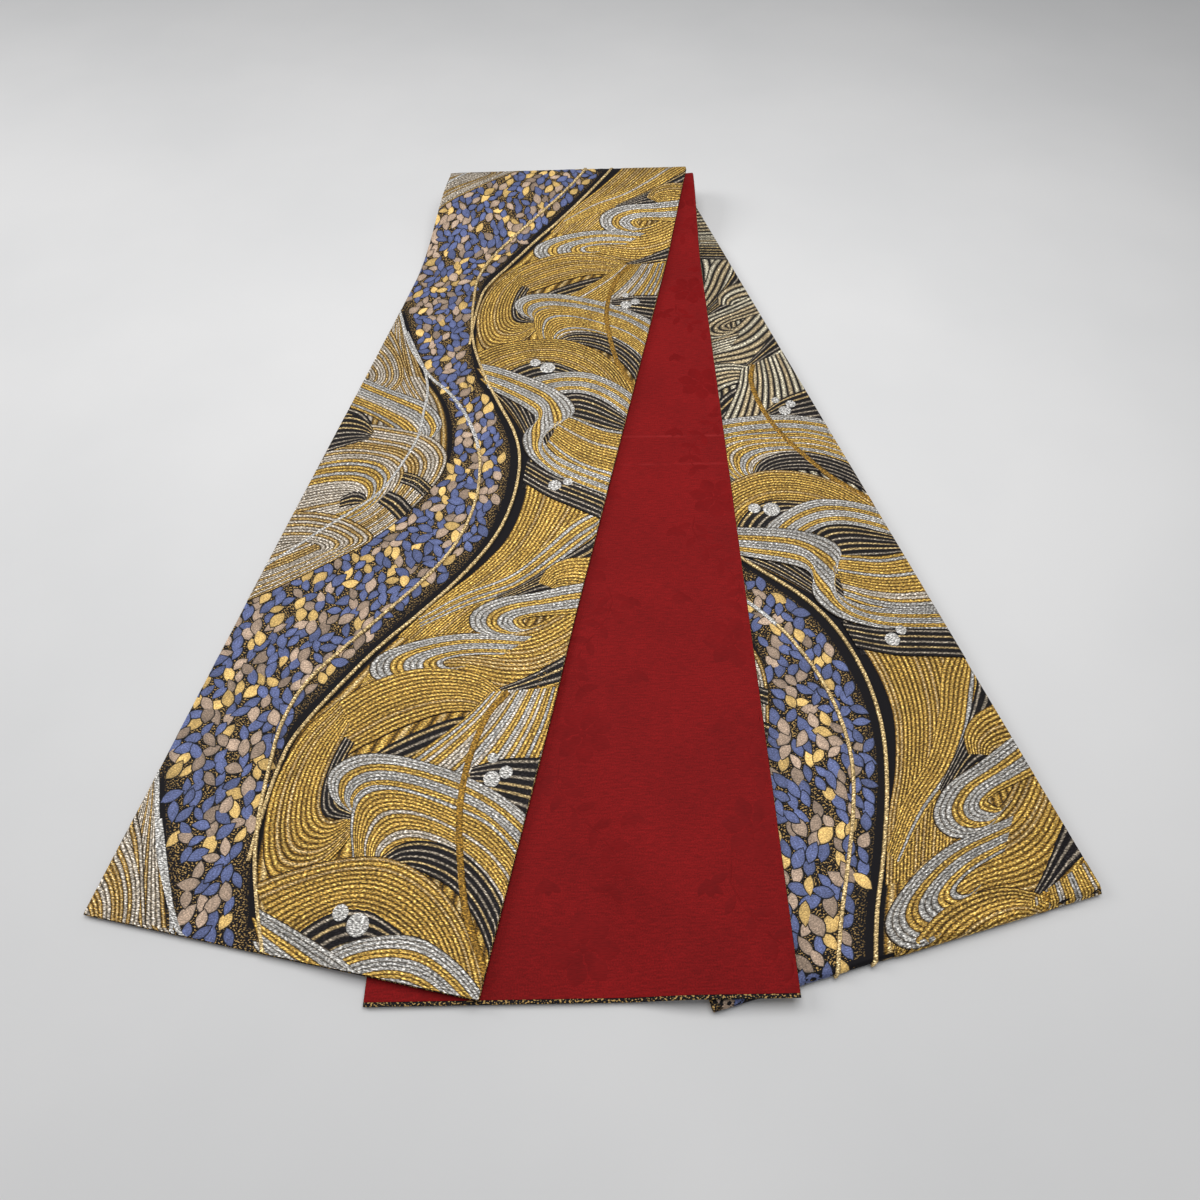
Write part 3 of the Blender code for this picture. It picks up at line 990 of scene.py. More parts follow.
# Waves to the right of the band, lowest first. The first one is the ground that the others lie on.
RIGHT_WAVES: list[Wave] = [
    Wave(Weave.BROAD, [(across + 0.15, along) for across, along in BLACK_EDGE],
         [(31.5, along) for _, along in BLACK_EDGE]),
    Wave(Weave.MIXED, [(13.4, 103.0), (17.0, 106.4), (20.6, 111.0), (22.4, 115.6), (22.9, 119.8)],
         [(21.4, 103.0), (24.2, 106.8), (27.4, 110.4), (31.5, 114.0), (31.5, 119.8)]),
    Wave(Weave.GOLD, [(12.6, 40), (15.2, 43), (18.6, 46.4), (21.2, 50), (22.6, 54)],
         [(17.5, 41), (20.5, 44), (22.5, 47.5), (24.0, 51), (25.5, 54)]),
    Wave(Weave.NIGHT, [(14.6, 43), (17.8, 46), (20.3, 49.2), (21.9, 52.6), (22.4, 57)],
         [(19.5, 43), (22.5, 46), (24.2, 50), (26.5, 54.2), (31.5, 58.6)]),
    Wave(Weave.GOLD, [(22.4, 54.5), (22.9, 58.5), (22.4, 63), (20.4, 67.5), (17.8, 71.5), (15.4, 76)],
         [(31.5, 57.2), (31.5, 60), (29.6, 64), (26.8, 68), (23.8, 71.5), (20.8, 76)]),
    Wave(Weave.MIXED, [(31.5, 57.4), (28.6, 60.0), (26.4, 63.6), (23.6, 67.2), (19.8, 70.2), (16.6, 73.6)],
         [(31.5, 60.8), (30.4, 63.0), (28.0, 66.4), (24.8, 69.3), (20.8, 71.8), (17.2, 74.8)]),
    Wave(Weave.NIGHT, [(31.5, 61.2), (29.0, 64.4), (26.3, 67.2), (23.0, 70.0)],
         [(31.5, 67.8), (29.0, 68.4), (26.0, 69.2), (22.8, 71.2)]),
    Wave(Weave.GOLD, [(31.5, 64.4), (29.0, 65.0), (27.2, 66.4), (26.7, 68.0)],
         [(31.5, 68.4), (30.2, 68.2), (29.0, 68.2), (28.4, 68.6)]),
    Wave(Weave.GOLD, [(31.5, 69.0), (27.6, 72.4), (23.2, 74.0), (18.4, 75.4), (15.8, 77.6), (13.9, 80)],
         [(31.5, 78.4), (28.8, 79.8), (25.8, 80.0), (22.0, 79.4), (18.0, 80.6), (13.8, 83.4)]),
    Wave(Weave.SILVER_EDGE, [(31.5, 67.4), (27.3, 68.9), (23.6, 70.1), (21.4, 72.1), (21.9, 73.9),
                             (24.4, 74.3), (27.6, 72.8)],
         [(31.5, 71.0), (29.4, 71.3), (27.4, 71.6), (26.2, 72.0), (26.5, 72.6), (27.2, 72.8),
          (28.4, 72.3)]),
    Wave(Weave.SILVER_EDGE, [(27.5, 73.7), (21.6, 74.5), (17.2, 76.2), (14.2, 78.4), (14.4, 80.2),
                             (16.6, 80.6), (20.4, 79.2)],
         [(25.4, 76.0), (22.6, 76.6), (21.0, 77.2), (20.3, 77.7), (20.5, 78.1), (21.2, 78.2),
          (22.4, 77.8)]),
    Wave(Weave.NIGHT, [(31.5, 74.8), (29.4, 76.6), (27.2, 78.4), (25.2, 79.8)],
         [(31.5, 77.8), (29.6, 78.4), (27.8, 79.2), (26.0, 80.0)]),
    Wave(Weave.GOLD, [(26.8, 79.9), (23.6, 78.4), (18.8, 78.7), (14.8, 80.8), (12.3, 83.4), (10.6, 86.2),
                      (10.2, 90)],
         [(25.4, 82.4), (24.2, 82.0), (21.8, 82.6), (19.2, 84.2), (17.0, 86.0), (15.2, 87.6), (13.8, 90)]),
    Wave(Weave.NIGHT, [(25.2, 82.6), (23.2, 82.8), (20.6, 84.4), (18.2, 86.4), (16.6, 88.2)],
         [(25.0, 85.2), (23.4, 85.8), (21.8, 87.0), (20.2, 88.0), (18.4, 88.6)]),
    Wave(Weave.MIXED, [(25.2, 79.9), (23.8, 82.6), (21.9, 85.2), (19.9, 87.6), (17.4, 90.2)],
         [(31.5, 78.2), (31.5, 82.0), (31.0, 86.0), (30.0, 88.6), (27.0, 91.0)]),
    Wave(Weave.GOLD, [(12.4, 83.0), (10.5, 87.0), (10.1, 91.6), (11.1, 95.8), (13.0, 98.4), (15.8, 97.6),
                      (17.6, 94.9), (18.2, 92.0)],
         [(14.2, 85.0), (13.9, 88.0), (14.0, 90.8), (14.7, 92.7), (15.7, 93.3), (16.6, 93.0), (17.2, 92.6),
          (17.7, 92.0)]),
    Wave(Weave.NIGHT, [(14.2, 86.2), (13.9, 88.6), (14.1, 91.0), (15.0, 92.9), (17.2, 93.0)],
         [(15.2, 86.6), (14.9, 88.8), (15.2, 90.8), (16.0, 92.0), (17.6, 92.5)]),
    Wave(Weave.NIGHT, [(25.6, 86.9), (28.0, 85.7), (31.5, 84.9)],
         [(25.8, 89.6), (28.0, 90.4), (31.5, 91.4)]),
    Wave(Weave.SILVER_EDGE, [(31.5, 90.2), (28.2, 88.6), (24.0, 87.5), (19.0, 87.1), (15.6, 87.8),
                             (14.1, 89.6), (15.1, 91.5), (17.3, 92.5)],
         [(31.5, 93.6), (28.2, 91.4), (24.5, 90.4), (20.6, 89.9), (18.2, 90.1), (17.2, 91.0), (17.2, 91.9),
          (17.6, 92.5)]),
    Wave(Weave.MIXED, [(31.5, 93.2), (28.2, 91.1), (24.4, 90.2), (20.4, 89.7), (18.0, 90.2), (17.1, 91.4),
                       (17.5, 93.4), (18.6, 95.8)],
         [(31.5, 98.4), (29.2, 96.0), (26.8, 94.4), (24.2, 93.9), (22.2, 94.2), (21.2, 95.0), (21.1, 95.8),
          (21.4, 96.4)]),
    Wave(Weave.NIGHT, [(31.5, 97.4), (29.2, 95.2), (26.6, 93.8), (23.8, 93.5), (21.8, 94.2), (20.8, 95.4)],
         [(31.5, 101.4), (29.4, 98.6), (27.2, 96.8), (25.0, 96.0), (23.2, 95.8), (22.0, 96.2)]),
    Wave(Weave.GOLD, [(11.8, 99.2), (14.3, 97.6), (18.0, 96.0), (22.0, 95.4), (26.0, 96.8), (29.2, 99.6),
                      (31.5, 103.2)],
         [(16.0, 103.0), (17.2, 101.4), (19.0, 100.0), (21.2, 99.6), (23.8, 100.2), (26.0, 101.6),
          (27.6, 104.2)]),
    Wave(Weave.NIGHT, [(15.6, 103.4), (17.0, 101.3), (19.0, 99.8), (21.4, 99.4), (24.2, 100.4)],
         [(18.4, 104.6), (19.2, 103.4), (20.4, 102.4), (22.0, 101.9), (24.0, 102.0)]),
    Wave(Weave.SILVER_EDGE, [(17.4, 105.2), (19.4, 102.6), (22.4, 101.0), (25.6, 100.5), (28.8, 101.6),
                             (31.5, 103.4)],
         [(21.6, 106.4), (22.6, 104.9), (24.2, 104.1), (26.2, 104.0), (28.6, 105.0), (31.5, 107.2)]),
    Wave(Weave.NIGHT, [(22.4, 105.6), (24.6, 104.0), (27.0, 104.3), (29.4, 105.6), (31.5, 107.0)],
         [(24.4, 107.6), (26.0, 108.2), (27.8, 108.6), (29.6, 108.9), (31.5, 109.0)]),
    Wave(Weave.MIXED, [(24.4, 107.4), (26.2, 108.0), (28.6, 108.8), (31.5, 109.0)],
         [(23.4, 112.4), (25.6, 114.2), (28.2, 115.4), (31.5, 116.2)]),
    Wave(Weave.SILVER_EDGE, [(13.0, 100.8), (17.4, 102.0), (21.6, 103.4), (24.6, 105.4), (25.3, 107.4),
                             (23.4, 109.2), (22.8, 111.2), (24.4, 113.4), (27.6, 114.8), (31.5, 115.8)],
         [(14.8, 104.6), (17.4, 106.0), (19.8, 107.3), (21.2, 108.4), (21.4, 109.6), (20.8, 110.8),
          (20.9, 112.4), (22.4, 114.6), (26.2, 116.8), (31.5, 118.4)]),
    Wave(Weave.NIGHT, [(22.0, 114.8), (24.8, 116.2), (28.2, 117.2), (31.5, 118.2)],
         [(22.2, 117.6), (25.2, 119.2), (28.4, 120.2), (31.5, 121.2)]),
]

# Waves to the left of the band, in the same way.
LEFT_WAVES: list[Wave] = [
    Wave(Weave.CREAM, [(across - 0.85, along) for across, along in BAND_LEFT],
         [(min(-1.0, across - 1.8), along) for across, along in BAND_LEFT]),
    Wave(Weave.CREAM, [(-1.0, 94.6), (1.4, 97.4), (3.6, 101.0), (5.8, 104.6), (8.4, 107.6), (10.4, 109.6),
                       (10.6, 111.4)],
         [(-1.0, 100.0), (1.0, 102.0), (3.0, 104.4), (4.8, 106.6), (6.4, 108.8), (7.4, 110.4),
          (7.6, 111.8)]),
    Wave(Weave.CREAM, [(-1.0, 96.6), (1.4, 98.6), (3.4, 101.2), (4.5, 104.0), (3.9, 106.6)],
         [(-1.0, 103.4), (-0.2, 103.4), (0.4, 103.9), (0.6, 104.6), (0.3, 105.2)]),
    Wave(Weave.NIGHT, [(-1.0, 109.4), (1.4, 109.8), (3.2, 111.2), (3.9, 113.2), (3.4, 115.4)],
         [(-1.0, 114.2), (-0.4, 114.2), (0.0, 114.6), (0.2, 115.2), (0.0, 115.8)]),
    Wave(Weave.MIXED, [(-1.0, 104.2), (2.4, 105.4), (6.0, 106.6), (9.2, 108.0), (11.2, 110.4),
                       (11.0, 112.4)],
         [(-1.0, 109.2), (2.0, 110.0), (4.4, 111.0), (6.4, 112.2), (8.0, 113.6), (8.8, 115.0)]),
    Wave(Weave.CREAM, [(-1.0, 112.6), (3.0, 111.6), (7.0, 111.8), (10.6, 112.6), (13.0, 114.6),
                       (13.4, 117.4), (12.6, 120.6), (11.2, 123.8), (9.0, 126.9), (6.0, 130.2),
                       (2.6, 133.8), (-1.0, 136.8)],
         [(-1.0, 119.0), (1.6, 117.6), (4.0, 117.0), (6.2, 117.2), (7.8, 118.4), (8.1, 120.0), (7.8, 121.8),
          (7.0, 123.6), (5.2, 125.4), (2.9, 127.2), (0.8, 128.8), (-1.0, 130.0)]),
    Wave(Weave.MIXED, [(-1.0, 118.8), (1.6, 117.4), (4.0, 116.8), (6.4, 117.0), (8.0, 118.3), (8.2, 120.0),
                       (7.9, 121.9), (7.0, 123.8), (5.3, 125.6), (3.0, 127.4), (0.8, 129.0),
                       (-1.0, 130.2)],
         [(-1.0, 123.0), (1.2, 121.8), (3.0, 121.0), (4.6, 120.7), (5.8, 121.2), (6.2, 121.9), (6.0, 122.6),
          (5.2, 123.4), (4.0, 124.2), (2.6, 125.0), (0.8, 125.9), (-1.0, 126.8)]),
    Wave(Weave.CREAM, [(-1.0, 122.8), (1.8, 121.3), (4.4, 120.6), (5.9, 121.2)],
         [(-1.0, 127.0), (1.8, 125.6), (4.0, 124.3), (5.9, 122.7)]),
    Wave(Weave.NIGHT, [(4.0, 122.3), (4.9, 121.4), (6.0, 121.3), (6.7, 122.0)],
         [(4.3, 123.6), (5.1, 123.2), (5.8, 122.9), (6.4, 122.6)]),
    Wave(Weave.NIGHT, [(-1.0, 110.9), (1.2, 110.7), (3.0, 111.4), (4.1, 112.6)],
         [(-1.0, 117.4), (0.8, 116.0), (2.4, 114.8), (3.9, 113.8)]),
    Wave(Weave.NIGHT, [(13.0, 119.4), (11.2, 118.2), (9.4, 117.8)], [(12.4, 120.9), (11.0, 119.9),
                       (9.4, 119.4)]),
    Wave(Weave.NIGHT, [(11.9, 122.6), (10.2, 121.2), (8.6, 120.6)], [(10.9, 124.2), (9.4, 123.0),
                       (8.0, 122.2)]),
    Wave(Weave.CREAM, [(-1.0, 125.2), (2.6, 124.6), (5.8, 124.9), (8.4, 126.0), (9.1, 127.0), (7.4, 128.9),
                       (4.8, 131.6), (1.6, 134.8), (-1.0, 137.0)],
         [(-1.0, 129.8), (1.0, 129.0), (2.8, 128.5), (4.2, 128.6), (4.5, 129.2), (3.6, 130.1), (2.2, 131.2),
          (0.6, 132.4), (-1.0, 133.4)]),
]

SILVER_STEM: Points = [
    (-1.0, 91.0), (0.2, 92.6), (1.6, 95.2), (3.5, 98.4), (5.7, 101.2), (7.9, 103.6), (10.6, 105.6),
    (13.2, 108.4), (15.2, 111.4), (16.3, 113.6),
]
GOLD_STEM: Points = [
    (16.2, 113.4), (17.0, 115.6), (17.8, 119.4), (17.9, 123.4), (17.2, 127.4), (15.5, 131.4), (13.2, 135.4),
    (10.8, 139.4), (8.9, 143.4), (8.4, 147.4), (9.0, 151.4), (9.9, 155.4), (11.0, 158.6), (12.4, 161.4),
    (14.4, 164.8), (17.0, 168.6), (19.6, 172.4), (21.2, 176.4), (21.7, 181.4), (21.0, 186.4), (19.1, 191.4),
    (16.4, 196.4), (13.7, 200.8), (11.5, 205.4), (9.9, 210.0), (9.8, 213.4), (10.2, 217.4), (10.6, 220.4),
]
LEFT_BRANCH: Points = [
    (2.2, 95.8), (4.6, 99.4), (6.6, 102.4), (8.0, 105.6), (8.6, 108.8), (9.2, 112.6), (8.8, 116.4),
    (7.8, 120.6), (5.8, 123.8), (3.6, 126.8), (1.6, 129.8), (-1.0, 133.2),
]
RIGHT_RIBBON: Points = [
    (26.8, 79.6), (25.6, 82.2), (25.2, 86.2), (25.6, 90.2), (26.8, 94.2), (28.6, 98.4), (31.5, 102.6),
]
# Silver dots: across, along and radius.
DOTS: list[tuple[float, float, float]] = [
    (28.5, 86.8, 0.55), (27.5, 87.6, 0.68), (27.1, 85.8, 0.45), (19.2, 99.9, 0.62), (20.8, 100.5, 0.85),
    (25.6, 117.7, 0.68), (26.8, 117.0, 0.48),
]


@dataclass
class PatternWeaver:
    """Weaves the pattern onto one face of a run."""

    run: Run
    shift: float
    depth: float
    side: float
    part: Part = Part.FACE
    flatten: float = 1.0
    floor_share: float = 0.12
    full_height: float = 3.2 * MM
    plain_above: float = -1e3
    stride: float = 6.0 * MM
    base: float = 0.14 * MM
    rim: float = 0.06
    foot: float = 0.05 * MM
    step: float = 0.07 * MM
    relief: float = 0.07 * MM
    margin: float = 0.5 * MM
    fold_cover: float = 0.98
    ribbon_lift: float = 0.42 * MM
    ribbon_crown: float = 0.2 * MM
    dome_crown: float = 0.3 * MM
    cell: float = 0.6
    levels: Array = field(default_factory=lambda: np.zeros(LEVEL_CELLS, int))

    def place(self, strip: Array, lift: Array | float) -> Array:
        """Points in space of strip coordinates in metres, raised off the face by lift.

        The lift is full above a set height and shrinks in proportion to the height below it, so that
        the side that lies on the floor stays flat.

        Args:
            strip: strip coordinates in metres, with across and along last.
            lift: height above the cloth.

        Returns:
            Positions, with x, y and z last.
        """
        height = self.run.surface(strip[..., 0], strip[..., 1], self.depth)[..., 2]
        room = np.clip(height / self.full_height, self.floor_share, 1.0)
        raised = self.side * self.flatten * room * np.asarray(lift)
        return self.run.surface(strip[..., 0], strip[..., 1], self.depth - raised)

    def limits(self, across: Array) -> tuple[Array, Array]:
        """Lowest and highest along-coordinate that the pattern may reach at each place across.

        Args:
            across: distance from the strip's left edge.

        Returns:
            The lowest and the highest, in metres.
        """
        fold, leg, lower = self.run.fold_length(), self.run.leg, self.run.lower
        if self.part is Part.BENEATH:
            low = leg.end(across) + 0.5 * fold
            return low, low + 0.5 * fold + lower.end(across) - lower.start(across) - self.margin
        if self.run.fold_at_end:
            return leg.start(across) + self.margin, leg.end(across) + 0.5 * fold
        return leg.start(across) - self.fold_cover * fold, leg.end(across) - self.margin

    def clip(self, strip: Array, faces: Array) -> tuple[Array, Array]:
        """Pull outlying points onto the cloth's border and drop the faces that lay wholly beyond it.

        Args:
            strip: strip coordinates in metres, one row a point.
            faces: corner numbers.

        Returns:
            The pulled coordinates and the faces that are kept.
        """
        width = self.run.layout.width
        low, high = self.limits(np.clip(strip[:, 0], self.margin, width - self.margin))
        beyond = np.stack([
            strip[:, 0] < self.margin, strip[:, 0] > width - self.margin,
            strip[:, 1] < low, strip[:, 1] > high,
        ])
        kept = ~beyond[:, faces].all(axis=2).any(axis=0)
        pulled = np.stack([
            np.clip(strip[:, 0], self.margin, width - self.margin), np.clip(strip[:, 1], low, high)], axis=1)
        return pulled, faces[kept]

    def periods(self, points: Points) -> list[float]:
        """Along-offsets, in centimetres, at which a motif of these points meets this run.

        Args:
            points: the motif's points in centimetres.

        Returns:
            One offset for each repeat.
        """
        values = [p[1] for p in points]
        low, high = self.limits(np.array([0.0, self.run.layout.width]))
        bottom, top = float(low.min()) / CM - self.shift, float(high.max()) / CM - self.shift
        first = math.ceil((bottom - max(values)) / PERIOD)
        last = math.floor((top - min(values)) / PERIOD)
        return [k * PERIOD + self.shift for k in range(first, last + 1)]

    def add(self, sheet: Sheet, strip: Array, faces: Array, lift: Array, colours: Array) -> None:
        """Clip one patch to the cloth and add it to a sheet, leaving out points that no face uses.

        Faces are turned to look away from the cloth, which in strip coordinates is one fixed sense.

        Args:
            sheet: where the patch goes.
            strip: strip coordinates of its points in metres.
            faces: corner numbers.
            lift: height of each point above the cloth.
            colours: four numbers for each point.
        """
        pulled, kept = self.clip(strip.reshape(-1, 2), faces)
        if len(kept) == 0:
            return
        used, renumbered = np.unique(kept, return_inverse=True)
        kept = renumbered.reshape(kept.shape)
        corners = strip.reshape(-1, 2)[used][kept]
        first, second = corners[:, 2] - corners[:, 0], corners[:, 3] - corners[:, 1]
        turn = first[:, 0] * second[:, 1] - first[:, 1] * second[:, 0]
        kept = np.where((turn * self.side > 0)[:, None], kept[:, ::-1], kept)
        points = self.place(pulled[used], lift.reshape(-1)[used])
        sheet.add(points, kept, pulled[used], colours.reshape(-1, 4)[used])

    def stack(self, strip: Array) -> int:
        """Highest level woven so far under points in centimetres; it is then one higher there.

        Args:
            strip: points in centimetres.

        Returns:
            The level before this patch.
        """
        cells = (strip.reshape(-1, 2) + np.array(LEVEL_ORIGIN)) / self.cell
        cells = np.clip(cells.astype(int), 0, np.array(LEVEL_CELLS) - 1)
        level = int(self.levels[cells[:, 0], cells[:, 1]].max())
        self.levels[cells[:, 0], cells[:, 1]] = level + 1
        return level

    def wave(self, sheet: Sheet, wave: Wave, offset: float, chooser: np.random.Generator) -> None:
        """Loft one wave between its curves: a row at a share q stands at (1 - q) outer + q inner.

        Each line is a raised ridge of four rows: the valley, a shoulder, the crown and a shoulder.
        A narrow black rim at both sides comes down to the cloth.

        Args:
            sheet: where the wave goes.
            wave: its curves and its weave.
            offset: how far down the strip it is moved, in centimetres.
            chooser: random numbers for its shades.
        """
        length = max(curve_length(wave.outer), curve_length(wave.inner)) * CM
        columns = max(6, int(length / self.stride))
        outer, inner = smooth_curve(wave.outer, columns), smooth_curve(wave.inner, columns)
        weave = wave.weave
        if float(np.mean(outer[:, 1])) + offset < self.plain_above and weave is not Weave.NIGHT:
            weave = Weave.PALE_NIGHT
        scheme = SCHEMES[weave]
        breadth = float(np.linalg.norm(outer - inner, axis=1).mean())
        lines = max(3, round(breadth / scheme.pitch))
        low, high = 0.5 - scheme.share / 2, 0.5 + scheme.share / 2
        rows_in_line = np.array([0.0, low, 0.5, high])
        rim = self.rim * lines / breadth
        ridges = (np.arange(lines)[:, None] + rows_in_line).ravel()
        share_rows = np.concatenate([[-1.1 * rim, -rim], ridges, [lines, lines + rim, lines + 1.1 * rim]])
        heights = np.concatenate([[0.0, 0.0], np.tile([0.0, 0.75, 1.0, 0.75], lines), [0.0, 0.0, 0.0]])
        q = (share_rows / lines)[:, None, None]
        strip = (1 - q) * outer[None] + q * inner[None] + np.array([0.0, offset])
        level = self.stack(strip)
        lift = self.base + level * self.step + heights * self.relief
        lift[[1, -2]] -= min(level, 1) * self.step
        lift[[0, -1]] = self.foot
        shake = 0 if weave is Weave.SILVER_EDGE else 2
        steps = [i + int(chooser.integers(0, shake + 1)) for i in range(lines)]
        turns = [scheme.turns[step % len(scheme.turns)] for step in steps]
        # Over a gold, silver or cream body the crown row is a painted highlight; over a black body it is the
        # line's own colour.
        body, crown = (np.array([TINTS[turn[k]] for turn in turns]) for k in range(2))
        valley = np.broadcast_to(np.array(TINTS[scheme.valley]), body.shape)
        tints = np.stack([valley, body, crown, body], axis=1) * chooser.uniform(0.82, 1.15, (lines, 1, 1))
        black = [TINTS["black"]] * 2
        tints = np.vstack([black, tints.reshape(-1, 3), TINTS[scheme.valley], black])
        colours = np.concatenate([tints, np.ones((len(tints), 1))], axis=1)
        colours = np.repeat(colours[:, None], columns, axis=1)
        self.add(sheet, strip * CM, grid_quads(len(share_rows), columns),
                 np.repeat(lift[:, None], columns, axis=1), colours)

    def waves(self, name: str, finish: bpy.types.Material, chosen: list[Wave]) -> bpy.types.Object:
        """The chosen waves of this face, each stacked one level above what it overlaps.

        Args:
            name: the piece's name.
            finish: its material.
            chosen: the waves, lowest first.

        Returns:
            The new piece.
        """
        sheet, chooser = Sheet(), np.random.default_rng(7)
        for wave in chosen:
            for offset in self.periods(wave.outer + wave.inner):
                self.wave(sheet, wave, offset, chooser)
        return sheet.build(name, finish)

    def ribbon(self, sheet: Sheet, points: Points, width: float, tint: str) -> None:
        """A thread ribbon along a curve: a flat band with sides that slope down to the cloth and are painted
        darker as shade.

        Each row stands at its own share of the width from the curve, along the curve's normal.

        Args:
            sheet: where the ribbon goes.
            points: its course in centimetres.
            width: its width in centimetres.
            tint: its colour's name.
        """
        for offset in self.periods(points):
            columns = max(8, int(curve_length(points) * CM / self.stride))
            curve = smooth_curve(points, columns) + np.array([0.0, offset])
            along = np.gradient(curve, axis=0)
            normal = np.stack([along[:, 1], -along[:, 0]], axis=1) / np.linalg.norm(along, axis=1)[:, None]
            sides = np.array([-0.62, -0.5, -0.2, 0.2, 0.5, 0.62]) * width
            heights = np.array([0.0, 0.8, 1.0, 1.0, 0.8, 0.0])
            strip = curve[None] + sides[:, None, None] * normal[None]
            lift = max(self.ribbon_lift, self.base + (self.stack(strip) + 1) * self.step)
            lifts = np.where(heights > 0, lift + heights * self.ribbon_crown, self.foot)
            lifts = np.repeat(lifts[:, None], columns, axis=1)
            # The sloping sides take 0.3 of the tint: painted shade.
            shade = np.where(heights > 0.5, 1.0, 0.3)
            colours = np.concatenate([np.array(TINTS[tint]) * shade[:, None], np.ones((6, 1))], axis=1)
            colours = np.repeat(colours[:, None], columns, axis=1)
            self.add(sheet, strip * CM, grid_quads(6, columns), lifts, colours)

    def stems(self, name: str, finish: bpy.types.Material) -> bpy.types.Object:
        """The thin silver and gold lines, the crossing ribbon and the silver dots.

        Args:
            name: the piece's name.
            finish: its material.

        Returns:
            The new piece.
        """
        sheet = Sheet()
        self.ribbon(sheet, LEFT_BRANCH, 0.26, "bright_silver")
        self.ribbon(sheet, SILVER_STEM, 0.34, "bright_silver")
        self.ribbon(sheet, GOLD_STEM, 0.26, "pale_gold")
        self.ribbon(sheet, RIGHT_RIBBON, 0.50, "gold")
        for across, along, radius in DOTS:
            for offset in self.periods([(across, along)]):
                self.dot(sheet, np.array([across, along + offset]), radius)
        return sheet.build(name, finish)

    def dot(self, sheet: Sheet, centre: Array, radius: float) -> None:
        """A low silver dome: circles at shares of the radius, each at its height on a rounded profile.

        Args:
            sheet: where the dome goes.
            centre: its place in centimetres.
            radius: its radius in centimetres.
        """
        turns = np.linspace(0.0, 2 * math.pi, DOME_POINTS, endpoint=False)
        rings = np.array([1.08, 1.0, 0.85, 0.5])
        heights = np.array([0.0, 0.5, 0.85, 1.0]) * self.dome_crown
        circle = np.stack([np.cos(turns), np.sin(turns)], axis=1)
        strip = centre + rings[:, None, None] * radius * circle
        lift = self.base + (self.stack(strip) + 1) * self.step
        lifts = np.repeat(np.where(heights > 0, lift + heights, self.foot)[:, None], DOME_POINTS, axis=1)
        colours = np.ones((*lifts.shape, 4)) * np.array([*TINTS["bright_silver"], 1.0])
        colours[0, :, :3] = TINTS["black"]
        self.add(sheet, strip * CM, capped_rings(*lifts.shape), lifts, colours)


@dataclass(frozen=True)
class Silk:
    """One kind of petal: how common it is, its range of width to length, its tint and that tint's spread."""

    share: float
    slimness: tuple[float, float]
    tint: tuple[float, float, float]
    spread: float


SILKS = (
    Silk(0.52, (0.44, 0.58), (0.118, 0.146, 0.305), 0.22),
    Silk(0.30, (0.48, 0.64), (0.45, 0.325, 0.235), 0.42),
    Silk(0.18, (0.44, 0.66), (0.82, 0.54, 0.18), 0.32),
)


